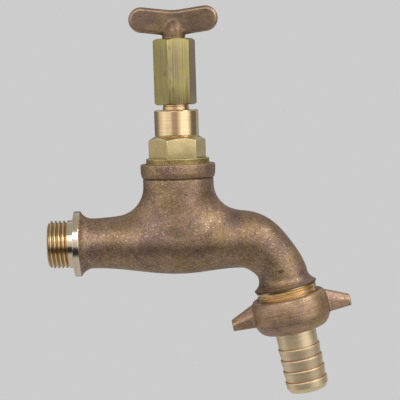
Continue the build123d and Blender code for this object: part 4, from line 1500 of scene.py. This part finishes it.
class BIB_OT_casting(Builder, bpy.types.Operator):
    """Builds the cast bronze body: the hollow casting, its collar and its outlet lip"""

    bl_idname = "bib.casting"
    bl_label = "Cast Body"

    def execute(self, context):
        at, size = self.setting(context, "bib_casting")
        bronze = finish(context.scene, at, "cast_bronze")
        casting = put_piece(
            "body_casting", [casting_skin(size, at)], "tap", ["body"], crease=48)
        collar = put_piece("body_collar", [collar_skin(size, at)], "tap", ["body"])
        lip = put_piece("body_lip", [lip_skin(size, at)], "tap", ["body"])
        for piece in (casting, collar, lip):
            coat(piece, bronze)
        return {"FINISHED"}


class BIB_OT_inlet(Builder, bpy.types.Operator):
    """Builds the machined inlet spigot with its thread and wall flange"""

    bl_idname = "bib.inlet"
    bl_label = "Inlet Spigot"

    def execute(self, context):
        at, size = self.setting(context, "bib_threads")
        bore = in_mm(context.scene.bib_casting).inlet_bore
        piece = put_piece(
            "body_inlet", inlet_skins(size, bore, at), "tap", ["body"], crease=40)
        coat(piece, finish(context.scene, at, "inlet_brass"))
        return {"FINISHED"}


class BIB_OT_outlet(Builder, bpy.types.Operator):
    """Builds the machined outlet spigot with its thread"""

    bl_idname = "bib.outlet"
    bl_label = "Outlet Spigot"

    def execute(self, context):
        at, size = self.setting(context, "bib_threads")
        bore = in_mm(context.scene.bib_casting).spout_bore
        piece = put_piece(
            "body_outlet", outlet_skins(size, bore, at), "tap", ["body"], crease=40)
        coat(piece, finish(context.scene, at, "outlet_brass"))
        return {"FINISHED"}


class BIB_OT_bonnet(Builder, bpy.types.Operator):
    """Builds the bonnet with its flange, hexagon, neck thread and bores"""

    bl_idname = "bib.bonnet"
    bl_label = "Bonnet"

    def execute(self, context):
        at, size = self.setting(context, "bib_headwork")
        piece = put_piece("bonnet_headwork", [bonnet_skin(size, at)], "tap", ["bonnet"])
        coat(piece, finish(context.scene, at, "bonnet_brass"))
        return {"FINISHED"}


class BIB_OT_guard(Builder, bpy.types.Operator):
    """Builds the gland nut with its tall guard skirt"""

    bl_idname = "bib.guard"
    bl_label = "Gland Nut"

    def execute(self, context):
        at, size = self.setting(context, "bib_headwork")
        piece = put_piece("gland_nut_guard", [guard_skin(size, at)], "tap", ["gland_nut"])
        coat(piece, finish(context.scene, at, "guard_brass"))
        return {"FINISHED"}


class BIB_OT_key_bar(Builder, bpy.types.Operator):
    """Builds the key's hexagon bar with its turned nose and square hole"""

    bl_idname = "bib.key_bar"
    bl_label = "Key Bar"

    def execute(self, context):
        at, size = self.setting(context, "bib_key")
        piece = put_piece("key_bar", [key_bar_skin(size, at)], "key", ["key_socket"])
        coat(piece, finish(context.scene, at, "key_brass"))
        return {"FINISHED"}


class BIB_OT_key_handle(Builder, bpy.types.Operator):
    """Builds the key's cast T handle"""

    bl_idname = "bib.key_handle"
    bl_label = "Key Handle"

    def execute(self, context):
        at, size = self.setting(context, "bib_key")
        piece = put_piece(
            "key_t_handle", [handle_skin(size, at)], "key", ["key_handle"], crease=60)
        coat(piece, finish(context.scene, at, "handle_bronze"))
        return {"FINISHED"}


class BIB_OT_wing_nut(Builder, bpy.types.Operator):
    """Builds the union nut with its two wings"""

    bl_idname = "bib.wing_nut"
    bl_label = "Wing Nut"

    def execute(self, context):
        at, size = self.setting(context, "bib_union")
        piece = put_piece(
            "union_wing_nut", [nut_skin(size, at)], "union_nut", ["wing_nut"], crease=50)
        coat(piece, finish(context.scene, at, "nut_bronze"))
        return {"FINISHED"}


class BIB_OT_hose_tail(Builder, bpy.types.Operator):
    """Builds the barbed hose tail"""

    bl_idname = "bib.hose_tail"
    bl_label = "Hose Tail"

    def execute(self, context):
        at, size = self.setting(context, "bib_union")
        piece = put_piece("union_hose_tail", [tail_skin(size, at)], "tail", ["hose_tail"])
        coat(piece, finish(context.scene, at, "tail_brass"))
        return {"FINISHED"}


class BIB_OT_inner_parts(Builder, bpy.types.Operator):
    """Gives the pieces inside the tap their finishes"""

    bl_idname = "bib.inner_parts"
    bl_label = "Inner Parts"

    def execute(self, context):
        at, _ = self.setting(context, "bib_finish")
        slots = {entry["node"]: entry["material_slot"] for entry in frame["record"]["subparts"]}
        for node in ("spindle", "disc_snap_ring", "valve_disc", "seat_washer", "washer_plate", "disc_nut",
                     "bonnet_gasket", "packing_base_washer", "packing_ring_1", "packing_ring_2",
                     "packing_ring_3", "gland_follower", "hose_washer"):
            frame["nodes"][node].material_slots[0].material = finish(context.scene, at, slots[node])
        return {"FINISHED"}


class BIB_OT_stage(Builder, bpy.types.Operator):
    """Builds the pale floor, the soft light and the camera"""

    bl_idname = "bib.stage"
    bl_label = "Stage"

    def execute(self, context):
        at, size = self.setting(context, "bib_stage")
        scene = context.scene
        floor_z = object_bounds()[0][2] - size.floor_gap * MM
        put_floor(floor_z, tuple(size.backdrop))
        light_world(scene, tuple(size.backdrop))
        put_lights(at)
        put_camera(scene, size)
        scene.view_settings.view_transform = "Standard"
        scene.view_settings.look = "None"
        return {"FINISHED"}


# ---------------------------------------------------------------- stage


def put_floor(height, tone):
    """A wide level floor that keeps one pale tone and throws no light on the tap."""
    reach = 8.0
    mesh = bpy.data.meshes.new("floor")
    mesh.from_pydata([(-reach, -reach, height), (reach, -reach, height), (reach, reach, height),
                      (-reach, reach, height)], [], [(0, 1, 2, 3)])
    floor = bpy.data.objects.new("floor", mesh)
    bpy.context.scene.collection.objects.link(floor)
    material, n = new_material("floor_pale")
    glow = n.node("ShaderNodeEmission", {}, {"Color": tone, "Strength": 1.0})
    n.node("ShaderNodeOutputMaterial", {}, {"Surface": glow.outputs[0]})
    coat(floor, material)
    floor.visible_diffuse = False
    floor.visible_glossy = False
    floor.visible_shadow = False
    floor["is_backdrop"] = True


def light_world(scene, tone):
    """A pale room: even tone to the eye, with soft bright and dark bands for the metal to show."""
    world = bpy.data.worlds.new("pale_room")
    world.use_nodes = True
    scene.world = world
    n = Nodes(world.node_tree)
    toward = n.node("ShaderNodeTexCoord").outputs["Generated"]

    def spot(direction, low, high):
        long = math.sqrt(sum(c * c for c in direction))
        return n.step(n.vector("DOT_PRODUCT", toward, tuple(c / long for c in direction)), low, high)

    _, y, z = n.split(toward)
    front = n.step(y, 0.1, -0.5)
    level = 0.52 + 0.45 * n.step(z, -0.15, 0.0) * n.step(z, 0.54, 0.28) * front
    level = level - 0.50 * n.step(z, -0.13, -0.24) * n.step(z, -0.74, -0.50) * front
    level = level - 0.12 * n.step(z, 0.55, 0.95)
    level = level + 0.18 * spot((-1.0, -0.10, 0.12), 0.80, 0.96)
    level = level + 0.44 * spot((0.69, -0.72, 0.10), 0.86, 0.97)
    level = level - 0.34 * spot((0.97, 0.24, 0.0), 0.84, 0.96)
    level = level - 0.30 * spot((-0.80, 0.60, 0.0), 0.84, 0.96)
    level = level - 0.34 * spot((-0.14, -1.0, -0.04), 0.93, 0.99)
    level = n.math("MAXIMUM", level - 0.36 * spot((0.0, 1.0, 0.0), 0.78, 0.95), 0.03)
    seen = Value(n, n.node("ShaderNodeLightPath").outputs["Is Camera Ray"])
    glow = n.node("ShaderNodeBackground", {}, {"Color": (1.0, 0.985, 0.96), "Strength": level})
    flat = n.node("ShaderNodeBackground", {}, {"Color": tone, "Strength": 1.0})
    both = n.node("ShaderNodeMixShader", {}, {0: seen, 1: glow.outputs[0], 2: flat.outputs[0]})
    n.node("ShaderNodeOutputWorld", {}, {"Surface": both.outputs[0]})


def put_lights(at):
    """Two soft area lights: a key light above the camera and a side light."""
    centre = np.array([at.valve_x, 0, 10.0]) * MM
    for name, side, rise, away, width, power in (
        ("key_light", -12.0, 34.0, 0.75, 0.40, 0.9),
        ("side_light", 58.0, 42.0, 0.70, 0.22, 1.0),
    ):
        a, e = math.radians(side), math.radians(rise)
        back = np.array([math.sin(a) * math.cos(e), -math.cos(a) * math.cos(e), math.sin(e)])
        data = bpy.data.lights.new(name, "AREA")
        data.shape = "RECTANGLE"
        data.size, data.size_y = width, width * 0.7
        data.energy = power
        data.color = (1.0, 0.97, 0.93)
        lamp = bpy.data.objects.new(name, data)
        bpy.context.scene.collection.objects.link(lamp)
        x = np.cross([0, 0, 1], back)
        x /= np.linalg.norm(x)
        turn = Matrix(np.column_stack([x, np.cross(back, x), back]).tolist()).to_4x4()
        lamp.matrix_world = Matrix.Translation((centre + back * away).tolist()) @ turn


def put_camera(scene, size):
    """Camera at its distance from the aim, looking a little down, leaning a little to the right."""
    e, lean = size.elevation, size.roll
    back = np.array([0.0, -math.cos(e), math.sin(e)])
    up = np.array([0.0, math.sin(e), math.cos(e)])
    right = np.array([1.0, 0.0, 0.0])
    side = right * math.cos(lean) - up * math.sin(lean)
    head = up * math.cos(lean) + right * math.sin(lean)
    data = bpy.data.cameras.new("camera")
    data.lens = size.lens
    data.clip_start = 0.02
    data.clip_end = 50.0
    camera = bpy.data.objects.new("camera", data)
    scene.collection.objects.link(camera)
    place = (np.array([size.aim_x, 0, size.aim_z]) + back * size.distance) * MM
    turn = Matrix(np.column_stack([side, head, back]).tolist()).to_4x4()
    camera.matrix_world = Matrix.Translation(place.tolist()) @ turn
    scene.camera = camera


# ---------------------------------------------------------------- panel and registration


OPERATORS = (
    BIB_OT_casting,
    BIB_OT_inlet,
    BIB_OT_outlet,
    BIB_OT_bonnet,
    BIB_OT_guard,
    BIB_OT_key_bar,
    BIB_OT_key_handle,
    BIB_OT_wing_nut,
    BIB_OT_hose_tail,
    BIB_OT_inner_parts,
    BIB_OT_stage,
)


class BIB_PT_panel(bpy.types.Panel):
    """Lists the tap's pieces in the order in which they are built"""

    bl_idname = "BIB_PT_panel"
    bl_label = "Bib Tap"
    bl_space_type = "VIEW_3D"
    bl_region_type = "UI"
    bl_category = "Bib Tap"

    def draw(self, context):
        for operator in OPERATORS:
            self.layout.operator(operator.bl_idname)
        for group in GROUPS:
            box = self.layout.box()
            settings = getattr(context.scene, group)
            for key in settings.bl_rna.properties.keys():
                if key not in {"rna_type", "name"}:
                    box.prop(settings, key)


CLASSES = (*GROUPS.values(), *OPERATORS, BIB_PT_panel)


def register():
    for cls in CLASSES:
        bpy.utils.register_class(cls)
    for name, group in GROUPS.items():
        setattr(bpy.types.Scene, name, PointerProperty(type=group))


def unregister():
    for name in GROUPS:
        delattr(bpy.types.Scene, name)
    for cls in reversed(CLASSES):
        bpy.utils.unregister_class(cls)


def main():
    """Registers the add-on and runs its operators in order."""
    register()
    for operator in OPERATORS:
        family, name = operator.bl_idname.split(".")
        getattr(getattr(bpy.ops, family), name)()
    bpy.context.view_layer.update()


if __name__ == "__main__":
    main()
